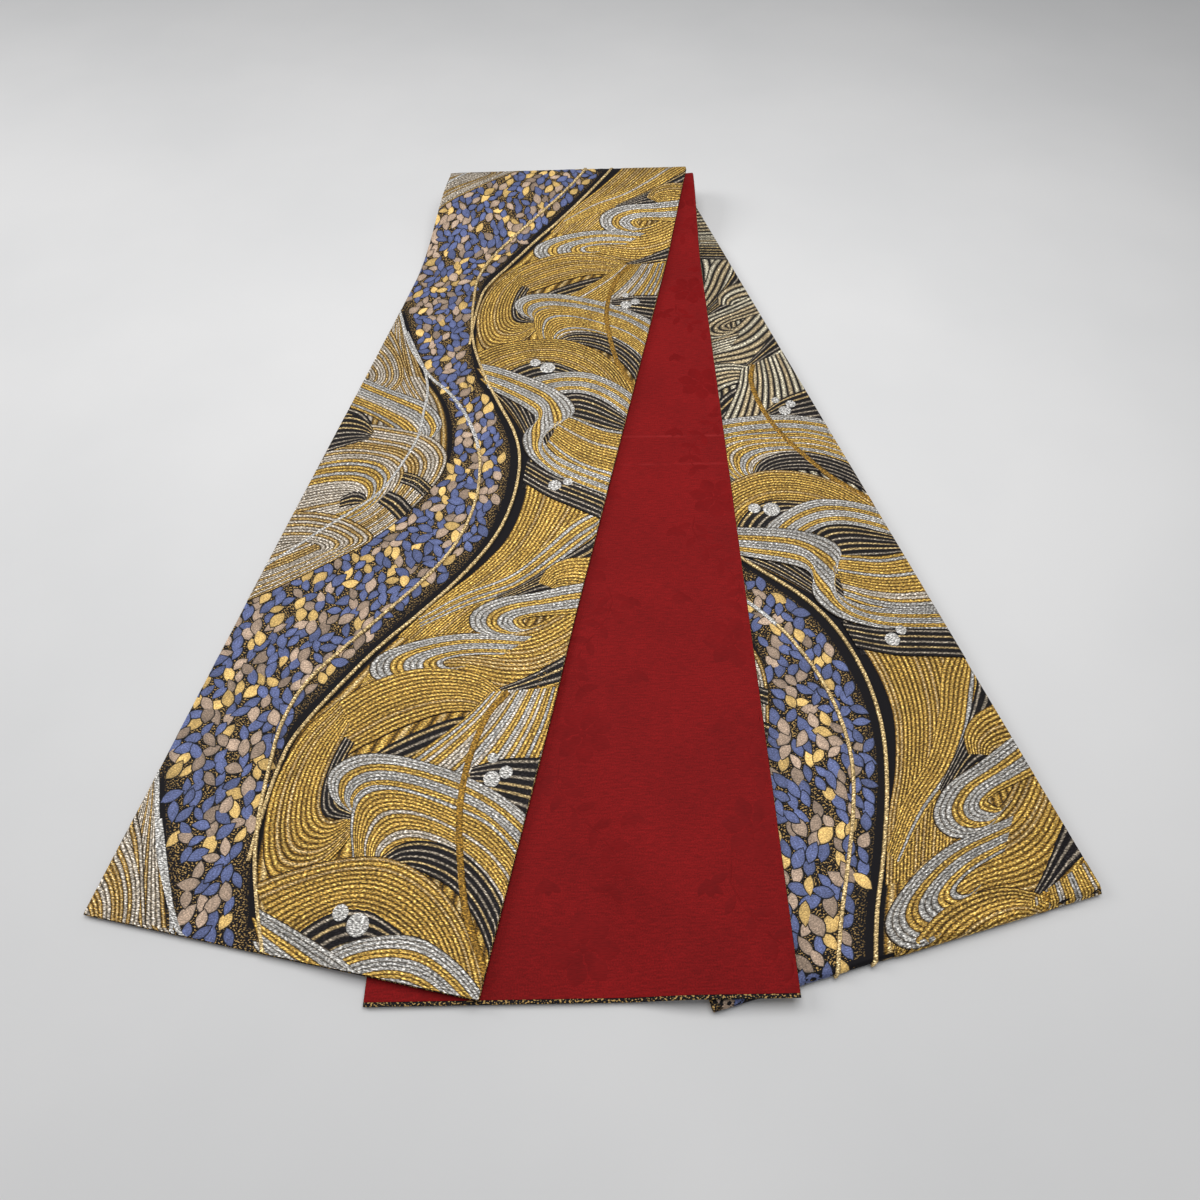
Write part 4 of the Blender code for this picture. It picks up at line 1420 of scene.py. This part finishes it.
@dataclass
class PetalField:
    """The winding band of petals, scattered on a shaken lattice inside the band's two curves."""

    weaver: PatternWeaver
    spacing: float = 1.10
    row_pitch: float = 1.04
    rim: float = 0.07
    lengths: tuple[float, float] = (1.40, 1.95)
    shake: float = 0.20
    missing: float = 0.04
    insets: tuple[float, float] = (0.3, 0.35)
    bed_overlap: float = 0.25
    bed_lift: float = 0.05 * MM

    def band_edges(self, along: Array) -> tuple[Array, Array]:
        """Left and right edge of the band at along-coordinates in centimetres, repeated by period.

        Args:
            along: distance down the strip in centimetres.

        Returns:
            Across-coordinates in centimetres.
        """
        phase = (along - self.weaver.shift - PATTERN_START) % PERIOD + PATTERN_START
        left, right = smooth_curve(BAND_LEFT, 200), smooth_curve(BAND_RIGHT, 200)
        return np.interp(phase, left[:, 1], left[:, 0]), np.interp(phase, right[:, 1], right[:, 0])

    def reach(self) -> tuple[float, float]:
        """Lowest and highest along-coordinate of the woven face, in centimetres."""
        low, high = self.weaver.limits(np.array([0.0, self.weaver.run.layout.width]))
        return float(low.min()) / CM, float(high.max()) / CM

    def bed(self, name: str, finish: bpy.types.Material) -> bpy.types.Object:
        """Flecked ground under the petals: straight rows from the band's left to its right curve.

        The flecks grow from a quarter at the sides to full over an eighth of the row.

        Args:
            name: the piece's name.
            finish: its material.

        Returns:
            The new piece.
        """
        low, high = self.reach()
        along = np.arange(low, high + 0.5, 0.5)
        left, right = self.band_edges(along)
        q = np.linspace(0.0, 1.0, 17)[:, None]
        across = left + (right - left + 2 * self.bed_overlap) * q - self.bed_overlap
        strip = np.stack([across, np.broadcast_to(along, across.shape)], axis=-1) * CM
        flecks = ease((0.5 - np.abs(q - 0.5)) / 0.12)
        colours = np.zeros((*across.shape, 4))
        colours[..., 0] = np.broadcast_to(0.25 + 0.75 * flecks, across.shape)
        colours[..., 3] = 1.0
        lifts = np.full(across.shape, self.bed_lift)
        lifts[[0, -1]] = 0.02 * MM
        sheet = Sheet()
        self.weaver.add(sheet, strip, grid_quads(*across.shape), lifts, colours)
        return sheet.build(name, finish)

    def seeds(self) -> Array:
        """Petal centres in centimetres on a shaken, staggered lattice, with an order of 0 to 2.

        Returns:
            One row for each petal: across, along and order.
        """
        chooser = np.random.default_rng(21)
        rows = np.arange(*self.reach(), self.row_pitch)
        across = np.arange(-0.5, 22.5, self.spacing)
        grid = np.stack(np.meshgrid(across, rows, indexing="ij"), axis=-1)
        grid[..., 0] += (np.arange(len(rows)) % 2) * self.spacing / 2
        centres = (grid + chooser.uniform(-self.shake, self.shake, grid.shape)).reshape(-1, 2)
        column, row = np.indices(grid.shape[:2])
        order = ((column + 2 * (row % 2) + row // 2) % 3).reshape(-1)
        left, right = self.band_edges(centres[:, 1])
        inside = (centres[:, 0] > left + self.insets[0]) & (centres[:, 0] < right - self.insets[1])
        return np.column_stack([centres, order])[inside & (chooser.random(len(centres)) > self.missing)]

    def petals(self, name: str, finish: bpy.types.Material) -> bpy.types.Object:
        """Pointed silk petals, each a black rim on the cloth and a domed top, painted lighter in the middle
        as a highlight.

        A petal's middle is bowed sideways by 1 - 4 t squared of its own bow.

        Args:
            name: the piece's name.
            finish: its material.

        Returns:
            The new piece.
        """
        chooser = np.random.default_rng(33)
        centres = self.seeds()
        count = len(centres)
        kind = chooser.choice(len(SILKS), count, p=[silk.share for silk in SILKS])
        length = chooser.uniform(*self.lengths, count)
        width = length * np.choose(kind, [chooser.uniform(*silk.slimness, count) for silk in SILKS])
        local = leaf_rings(length, width, np.array([1.0, 0.90, 0.45]), self.rim)
        local = np.concatenate([local[:, :1], local], axis=1)
        share = local[..., 1] / length[:, None, None]
        bow = chooser.uniform(-0.16, 0.16, count)[:, None, None] * (1.0 - 4.0 * share**2)
        taper = 1.0 + chooser.uniform(-0.7, 0.7, count)[:, None, None] * share
        u, v = local[..., 0] * taper + bow, local[..., 1]
        tilt = chooser.normal(0.0, 0.7, count)[:, None, None]
        strip = np.stack([
            centres[:, None, None, 0] + u * np.cos(tilt) - v * np.sin(tilt),
            centres[:, None, None, 1] + u * np.sin(tilt) + v * np.cos(tilt)], axis=-1) * CM
        tones = np.array([silk.tint for silk in SILKS])[kind]
        spread = np.array([silk.spread for silk in SILKS])[kind][:, None]
        tones = tones * (1.0 + spread * chooser.uniform(-1.0, 1.0, (count, 1)))
        # Per ring: black rim, near-black outline, then 0.92 of the tint rising to 1.1 in the middle, a
        # painted highlight on the dome.
        shade = np.array([0.0, 0.0, 0.06, 0.92, 1.1])[None, :, None, None]
        colours = np.concatenate([
            np.broadcast_to(tones[:, None, None] * shade, (*u.shape, 3)), np.ones((*u.shape, 1))], axis=-1)
        heights = (centres[:, 2, None] * 0.10 + np.array([0.0, 0.08, 0.09, 0.13, 0.14])) * MM
        heights[:, 0] = 0.03 * MM
        lifts = np.broadcast_to(heights[..., None], u.shape)
        faces = copies(capped_rings(*u.shape[1:]), count, u[0].size)
        sheet = Sheet()
        self.weaver.add(sheet, strip, faces, lifts, colours)
        return sheet.build(name, finish)


@dataclass
class Damask:
    """Tone-on-tone sprays on the lining: a many-petalled flower, a bowed stem, leaves and buds."""

    weaver: PatternWeaver
    pitch_across: float = 13.5
    pitch_along: float = 17.0
    tone: tuple[float, float, float] = (1.0, 0.0, 0.0)

    def motif(self) -> tuple[Array, Array, Array, Array]:
        """Leaves of one spray about its flower, in centimetres.

        Petals stand on two rings round the flower's heart. Leaf pairs and buds stand along the
        stem x = 2.2 sin(0.42 y).

        Returns:
            Centres, lengths, widths and tilts.
        """
        rows: list[tuple[float, float, float, float, float]] = []
        for ring, count, length, width in ((1.75, 7, 1.9, 1.5), (0.85, 5, 1.2, 0.9), (0.0, 1, 0.7, 0.7)):
            turns = np.arange(count) * 2 * math.pi / count + ring
            rows += [(ring * math.sin(t), ring * math.cos(t), length, width, -t) for t in turns]
        for y in np.arange(3.4, 13.5, 1.55):
            x, slope = 2.2 * math.sin(0.42 * y), 0.92 * math.cos(0.42 * y)
            rows += [(x, y, 1.9, 0.16, -slope)]
            reach = 1.25 - 0.05 * y
            for side in (-1.0, 1.0):
                lean = -slope + side * 0.95
                rows += [(x - reach * math.sin(lean), y + reach * math.cos(lean), 1.7, 0.72, lean)]
        for x, y in ((3.9, 4.6), (-3.6, 7.6), (3.2, 12.4)):
            rows += [(x, y, 1.5, 0.95, 0.3)]
            rows += [(x + side, y + 0.1, 1.3, 0.6, lean) for side, lean in ((0.55, -0.5), (-0.55, 0.9))]
        table = np.array(rows)
        return table[:, :2], table[:, 2], table[:, 3], table[:, 4]

    def build(self, name: str, finish: bpy.types.Material) -> bpy.types.Object:
        """Sprays on a staggered lattice, every other one mirrored and each a little turned.

        A leaf is turned by its own tilt about its centre, and the centres by the spray's turn.

        Args:
            name: the piece's name.
            finish: its material.

        Returns:
            The new piece.
        """
        chooser = np.random.default_rng(5)
        places, length, width, tilt = self.motif()
        low, high = self.weaver.limits(np.array([0.0, self.weaver.run.layout.width]))
        sheet = Sheet()
        starts = np.arange(float(low.min()) / CM - 8.0, float(high.max()) / CM, self.pitch_along)
        grid = [(column, row, y) for column in range(3) for row, y in enumerate(starts)]
        for column, row, y in grid:
            turn = chooser.uniform(-0.25, 0.25)
            flip = 1.0 if (column + row) % 2 else -1.0
            centre = np.array([2.2 + column * self.pitch_across, y + (column % 2) * self.pitch_along / 2])
            local = leaf_rings(length, width, np.array([0.86, 0.4]), 0.0)
            lean = (tilt * flip)[:, None, None] + turn
            u, v = local[..., 0], local[..., 1]
            spot = places * np.array([flip, 1.0])
            x = spot[:, 0] * math.cos(turn) - spot[:, 1] * math.sin(turn)
            w = spot[:, 0] * math.sin(turn) + spot[:, 1] * math.cos(turn)
            strip = np.stack([
                centre[0] + x[:, None, None] + u * np.cos(lean) - v * np.sin(lean),
                centre[1] + w[:, None, None] + u * np.sin(lean) + v * np.cos(lean)], axis=-1) * CM
            colours = np.broadcast_to(np.array([*self.tone, 1.0]), (*u.shape, 4))
            lifts = np.broadcast_to(np.array([0.02, 0.09, 0.10])[None, :, None] * MM, u.shape)
            faces = copies(capped_rings(*u.shape[1:]), len(length), u[0].size)
            self.weaver.add(sheet, strip, faces, lifts, colours)
        return sheet.build(name, finish)


# ---------------------------------------------------------------------------------------------
# Cloth
# ---------------------------------------------------------------------------------------------


@dataclass
class Cloth:
    """The closed layers of one run: the brocade body with its turned edges, and the lining on it."""

    run: Run
    free_end: bool
    grid: float = 5.0 * MM
    fold_rows: int = 25
    lining_thickness: float = 0.5 * MM
    lining_side: float = 0.6 * MM
    lining_end: float = 2.8 * MM
    edge_inset: float = 1.5 * MM
    edge_fade: float = 3.0 * MM
    tip_run: float = 2.5 * MM

    def stations(self, across: Array, end_inset: float) -> Array:
        """Along-coordinates of the run's cross rows, for each place across.

        The rows share out the leg, the fold and, past a fold at the far end, the leg beneath.

        Args:
            across: distance from the strip's left edge, one number for each column.
            end_inset: gap to the strip's free end.

        Returns:
            One row for each cross row.
        """
        leg, fold = self.run.leg, self.run.fold_length()
        start, end = leg.start(across), leg.end(across)
        rows = int(leg.length / self.grid)
        share = np.linspace(0.0, 1.0, rows)[:, None]
        turn = np.linspace(0.0, 1.0, self.fold_rows)[:, None]
        if self.run.fold_at_end:
            beneath = self.run.lower.end(across) - self.run.lower.start(across)
            first = start + share * (end - start)
            second = end + turn[1:] * fold
            third = end + fold + share[1:] * (beneath - 1.0 * MM)
            return np.concatenate([first, second, third])
        tips = np.array([1.6, 0.9, 0.4, 0.1, 0.0])[:, None] * MM
        first = start - turn[::-1] * fold
        second = start + share[1:] * (end - end_inset - self.tip_run - start)
        return np.concatenate([first, second, end - end_inset - tips])

    def slab(self, name: str, upper: float, lower: float, side: float, end: float,
             finish: bpy.types.Material) -> bpy.types.Object:
        """A closed slab between two depths, with rounded sides and ends.

        The ring that is carried along the run goes across the upper face, round the left side and
        back along the lower face. Near a free end the ring's depth shrinks by a quarter circle.

        Args:
            name: the piece's name.
            upper: depth of the upper face.
            lower: depth of the lower face.
            side: gap to the strip's own edges.
            end: gap to the strip's free end.
            finish: its material.

        Returns:
            The new piece.
        """
        width = self.run.layout.width
        radius, centre = (lower - upper) / 2, (upper + lower) / 2
        flat = np.linspace(width - side - radius, side + radius, int(width / self.grid))
        arc = np.linspace(0.0, math.pi, 7)[1:-1]
        ring_across = np.concatenate([
            flat, side + radius - radius * np.sin(arc),
            flat[::-1], width - side - radius + radius * np.sin(arc)])
        ring_depth = np.concatenate([
            np.full(len(flat), upper), centre - radius * np.cos(arc),
            np.full(len(flat), lower), centre + radius * np.cos(arc)])
        along = self.stations(ring_across, end if self.free_end else 0.0)
        depth = np.repeat(ring_depth[None], len(along), axis=0)
        if self.free_end:
            squeeze = np.sqrt(1.0 - np.array([0.15, 0.40, 0.60, 0.85]) ** 2)
            depth[-4:] = centre + (depth[-4:] - centre) * squeeze[:, None]
        across = np.repeat(ring_across[None], len(along), axis=0)
        rows, columns = across.shape
        first = np.arange(columns // 2 - 1)
        cap = np.stack([first, first + 1, columns - 2 - first, columns - 1 - first], axis=1)
        turned = np.roll(np.arange(columns), 3)
        ends = [turned[cap], turned[cap][:, ::-1] + (rows - 1) * columns]
        faces = np.concatenate([grid_quads(rows, columns, closed=True), *ends])
        near = np.minimum(across, width - across)
        colours = np.zeros((rows, columns, 4))
        colours[..., 0] = 1.0 - ease((near - self.edge_inset) / self.edge_fade)
        if self.free_end:
            colours[-8:, :, 0] = 1.0
        colours[..., 3] = 1.0
        sheet = Sheet()
        strip = np.stack([across, along], axis=-1)
        sheet.add(self.run.surface(across, along, depth), faces, strip, colours)
        return sheet.build(name, finish)


# ---------------------------------------------------------------------------------------------
# Sub-assemblies
# ---------------------------------------------------------------------------------------------


@dataclass
class Finishes:
    """The materials that the pieces share."""

    thread: bpy.types.Material = field(default_factory=lambda: ThreadFinish().build())
    ground: bpy.types.Material = field(default_factory=lambda: GroundFinish().build())
    petal: bpy.types.Material = field(default_factory=lambda: PetalFinish().build())
    lining: bpy.types.Material = field(default_factory=lambda: LiningFinish().build())
    damask: bpy.types.Material = field(default_factory=lambda: DamaskFinish().build())


def leg_nodes(leg: str, hem: bool) -> list[str]:
    """CAD nodes of one leg without its lining."""
    parts = ["face", "core", "left_edge", "right_edge"] + (["end_hem"] if hem else [])
    return [f"{leg}_{part}" for part in parts]


@dataclass
class StripRun:
    """One run of the sash with its cloth and its pattern; only a run of the root is attached to its body."""

    name: str
    run: Run
    body: Body
    free_end: bool
    lining_outside: bool
    replaced: list[str]
    replaced_lining: list[str]
    flat_length: float
    brocade_on: list[str]
    lining_on: list[str]
    blend_run: float = 0.075

    def hold(self, piece: bpy.types.Object) -> None:
        """Ride on the root; a piece of another body only has its transform baked.

        Args:
            piece: the piece to hold.
        """
        if self.body is Body.ROOT:
            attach(piece, self.body.value)
        else:
            leg = self.run.leg
            middle = np.array([self.run.layout.width / 2])
            place = leg.plan(middle, leg.start(middle))[0]
            height = float(self.run.crease_height(middle)[0])
            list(place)
            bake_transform(piece)

    def cloth(self, finishes: Finishes) -> None:
        """Make the brocade body, the lining and its sprays, and hide the CAD parts that they replace.

        Args:
            finishes: the materials.
        """
        cloth = Cloth(self.run, self.free_end)
        total, thin = self.run.layout.thickness, cloth.lining_thickness
        if self.lining_outside:
            body_depths, lining_depths = (thin, total), (0.0, thin)
        else:
            body_depths, lining_depths = (0.0, total - thin), (total - thin, total)
        brocade = cloth.slab(f"{self.name}_brocade", *body_depths, 0.0, 0.0, finishes.ground)
        self.hold(brocade)
        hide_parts(*self.replaced)
        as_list(self.brocade_on)
        lining = cloth.slab(f"{self.name}_lining_cloth", *lining_depths, cloth.lining_side, cloth.lining_end,
                            finishes.lining)
        self.hold(lining)
        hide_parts(*self.replaced_lining)
        sprays = Damask(self.lining_weaver()).build(f"{self.name}_sprays", finishes.damask)
        self.hold(sprays)
        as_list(self.lining_on)

    def lining_weaver(self) -> PatternWeaver:
        """A weaver for the lining's own face.

        Returns:
            A weaver that keeps 3 mm away from the edges.
        """
        depth, side = (0.0, 1.0) if self.lining_outside else (self.run.layout.thickness, -1.0)
        return PatternWeaver(self.run, shift=0.0, depth=depth, side=side, margin=3.0 * MM)

    def pattern(self, finishes: Finishes, weaver: PatternWeaver, name: str) -> None:
        """Weave the petals, the waves and the stems onto the run's brocade face.

        Args:
            finishes: the materials.
            weaver: the weaver of that face.
            name: start of the pieces' names.
        """
        petals = PetalField(weaver)
        for piece in (
            petals.bed(f"{name}_bed", finishes.ground),
            petals.petals(f"{name}_petals", finishes.petal),
            weaver.waves(f"{name}_right_waves", finishes.thread, RIGHT_WAVES),
            weaver.waves(f"{name}_left_waves", finishes.thread, LEFT_WAVES),
            weaver.stems(f"{name}_stems", finishes.thread),
        ):
            self.hold(piece)


@dataclass
class Studio:
    """Floor, lights and camera."""

    layout: Layout
    lens_share: float = 0.69215
    pitch: float = 55.916
    roll: float = 1.011
    height: float = 0.6508
    stand_off: float = 1.109
    side_step: float = 0.127
    daylight: float = 0.285
    floor_half: float = 14.0
    film_width: float = 36.0

    def build(self) -> None:
        """Lay the floor, hang the lights and set the camera."""
        self.floor()
        self.light("ceiling", place=(0.16, 0.12, 1.22), target=(0.16, 0.12, 0.0), size=1.2, power=12.6)
        self.light("window", place=(-1.7, 0.5, 1.2), target=(-0.2, 0.1, 0.0), size=0.9, power=14.0)
        bpy.context.scene.view_settings.view_transform = "Standard"
        world = bpy.data.worlds.new("studio")
        world.use_nodes = True
        background = world.node_tree.nodes["Background"]
        background.inputs["Color"].default_value = (0.97, 0.98, 1.0, 1.0)
        background.inputs["Strength"].default_value = self.daylight
        bpy.context.scene.world = world
        self.camera()

    def floor(self) -> None:
        """A flat floor far larger than the view."""
        half = self.floor_half
        mesh = bpy.data.meshes.new("floor")
        corners = [(-half, -half, 0.0), (half, -half, 0.0), (half, half, 0.0), (-half, half, 0.0)]
        mesh.from_pydata(corners, [], [(0, 1, 2, 3)])
        mesh.materials.append(FloorFinish().build())
        floor = bpy.data.objects.new("floor", mesh)
        bpy.context.scene.collection.objects.link(floor)

    def light(self, name: str, place: tuple[float, float, float], target: tuple[float, float, float],
              size: float, power: float) -> None:
        """A square area light that faces a target.

        Args:
            name: the light's name.
            place: where it hangs.
            target: the point it faces.
            size: length of its side.
            power: in watts.
        """
        data = bpy.data.lights.new(name, "AREA")
        data.size = size
        data.energy = power
        lamp = bpy.data.objects.new(name, data)
        lamp.location = place
        direction = np.array(target) - np.array(place)
        yaw = math.atan2(direction[0], -direction[1])
        lean = math.atan2(math.hypot(direction[0], direction[1]), -direction[2])
        lamp.rotation_euler = (-lean, 0.0, yaw)
        bpy.context.scene.collection.objects.link(lamp)

    def camera(self) -> None:
        """A slightly wide lens close above the near end of the fan, looking down along it."""
        data = bpy.data.cameras.new("camera")
        data.sensor_width = self.film_width
        data.lens = self.film_width * self.lens_share
        camera = bpy.data.objects.new("camera", data)
        corner = self.layout.legs["front_leg"].corner
        camera.location = (corner[0] - self.side_step, corner[1] - self.stand_off, self.height)
        camera.rotation_mode = "ZXY"
        camera.rotation_euler = (math.radians(90.0 - self.pitch), 0.0, math.radians(-self.roll))
        bpy.context.scene.collection.objects.link(camera)
        bpy.context.scene.camera = camera


@dataclass
class Sash:
    """The whole sash: three runs on one layout."""

    layout: Layout = field(default_factory=Layout)

    def front(self) -> StripRun:
        """Front leg, brocade up, with the tall top fold behind it.

        Returns:
            The run, ready to build.
        """
        legs = self.layout.legs
        run = Run(self.layout, legs["front_leg"], legs["under_leg"], -self.layout.front_of_top,
                  self.layout.top_depth, False, 0.0)
        nodes = leg_nodes("front_leg", True) + ["top_fold_face", "top_fold_core"]
        length = self.layout.front_length + run.fold_length()
        return StripRun(
            "front", run, Body.FRONT, free_end=True, lining_outside=False, replaced=nodes,
            replaced_lining=["front_leg_lining", "top_fold_lining"], flat_length=length,
            brocade_on=["front_lining_cloth"], lining_on=["floor", "centre_lining_cloth"])

    def centre(self) -> StripRun:
        """Centre leg, lining up, with the inner fold behind it.

        Returns:
            The run, ready to build.
        """
        legs, layout = self.layout.legs, self.layout
        run = Run(layout, legs["centre_leg"], legs["right_leg"], -layout.front_of_inner,
                  layout.inner_depth, False, layout.thickness + layout.leg_gap)
        nodes = leg_nodes("centre_leg", True) + ["inner_fold_face", "inner_fold_core"]
        length = layout.centre_length + run.fold_length()
        return StripRun(
            "centre", run, Body.CENTRE, free_end=True, lining_outside=True, replaced=nodes,
            replaced_lining=["centre_leg_lining", "inner_fold_lining"], flat_length=length,
            brocade_on=["base_brocade"], lining_on=["centre_brocade"])

    def base(self) -> StripRun:
        """Right leg, brocade up, the bottom fold and the hidden under leg beneath.

        Returns:
            The run, ready to build.
        """
        legs, layout = self.layout.legs, self.layout
        depth = (2 * layout.thickness + layout.leg_gap) / 2
        run = Run(layout, legs["right_leg"], legs["under_leg"], layout.front_of_bottom, depth, True, 0.0)
        nodes = leg_nodes("right_leg", False) + leg_nodes("under_leg", False)
        nodes += ["bottom_fold_face", "bottom_fold_core"]
        length = layout.right_length + layout.legs["under_leg"].length + run.fold_length()
        return StripRun(
            "base", run, Body.ROOT, free_end=False, lining_outside=False, replaced=nodes,
            replaced_lining=["right_leg_lining", "under_leg_lining", "bottom_fold_lining"],
            flat_length=length, brocade_on=["floor", "base_lining_cloth"], lining_on=["base_brocade"])

    def build(self) -> None:
        """Make the cloth of all runs and weave the pattern on the faces that can be seen."""
        finishes = Finishes()
        front, centre, base = self.front(), self.centre(), self.base()
        for strip in (front, centre, base):
            strip.cloth(finishes)
        thick, coarse = self.layout.thickness, 9.0 * MM
        weavers = (
            (front, "front", PatternWeaver(front.run, shift=0.0, depth=0.0, side=1.0)),
            (base, "right", PatternWeaver(base.run, shift=16.5, depth=0.0, side=1.0, plain_above=43.0)),
            (base, "under", PatternWeaver(base.run, shift=16.5, depth=0.0, side=1.0, part=Part.BENEATH,
                                          flatten=0.12, stride=coarse)),
            (centre, "centre", PatternWeaver(centre.run, shift=30.0, depth=thick, side=-1.0,
                                             flatten=0.2, stride=coarse)),
        )
        for strip, name, weaver in weavers:
            strip.pattern(finishes, weaver, name)


def main() -> None:
    """Build the studio and the sash."""
    logging.basicConfig(level=logging.INFO, format="%(message)s")
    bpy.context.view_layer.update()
    sash = Sash()
    Studio(sash.layout).build()
    sash.build()


if __name__ == "__main__":
    main()
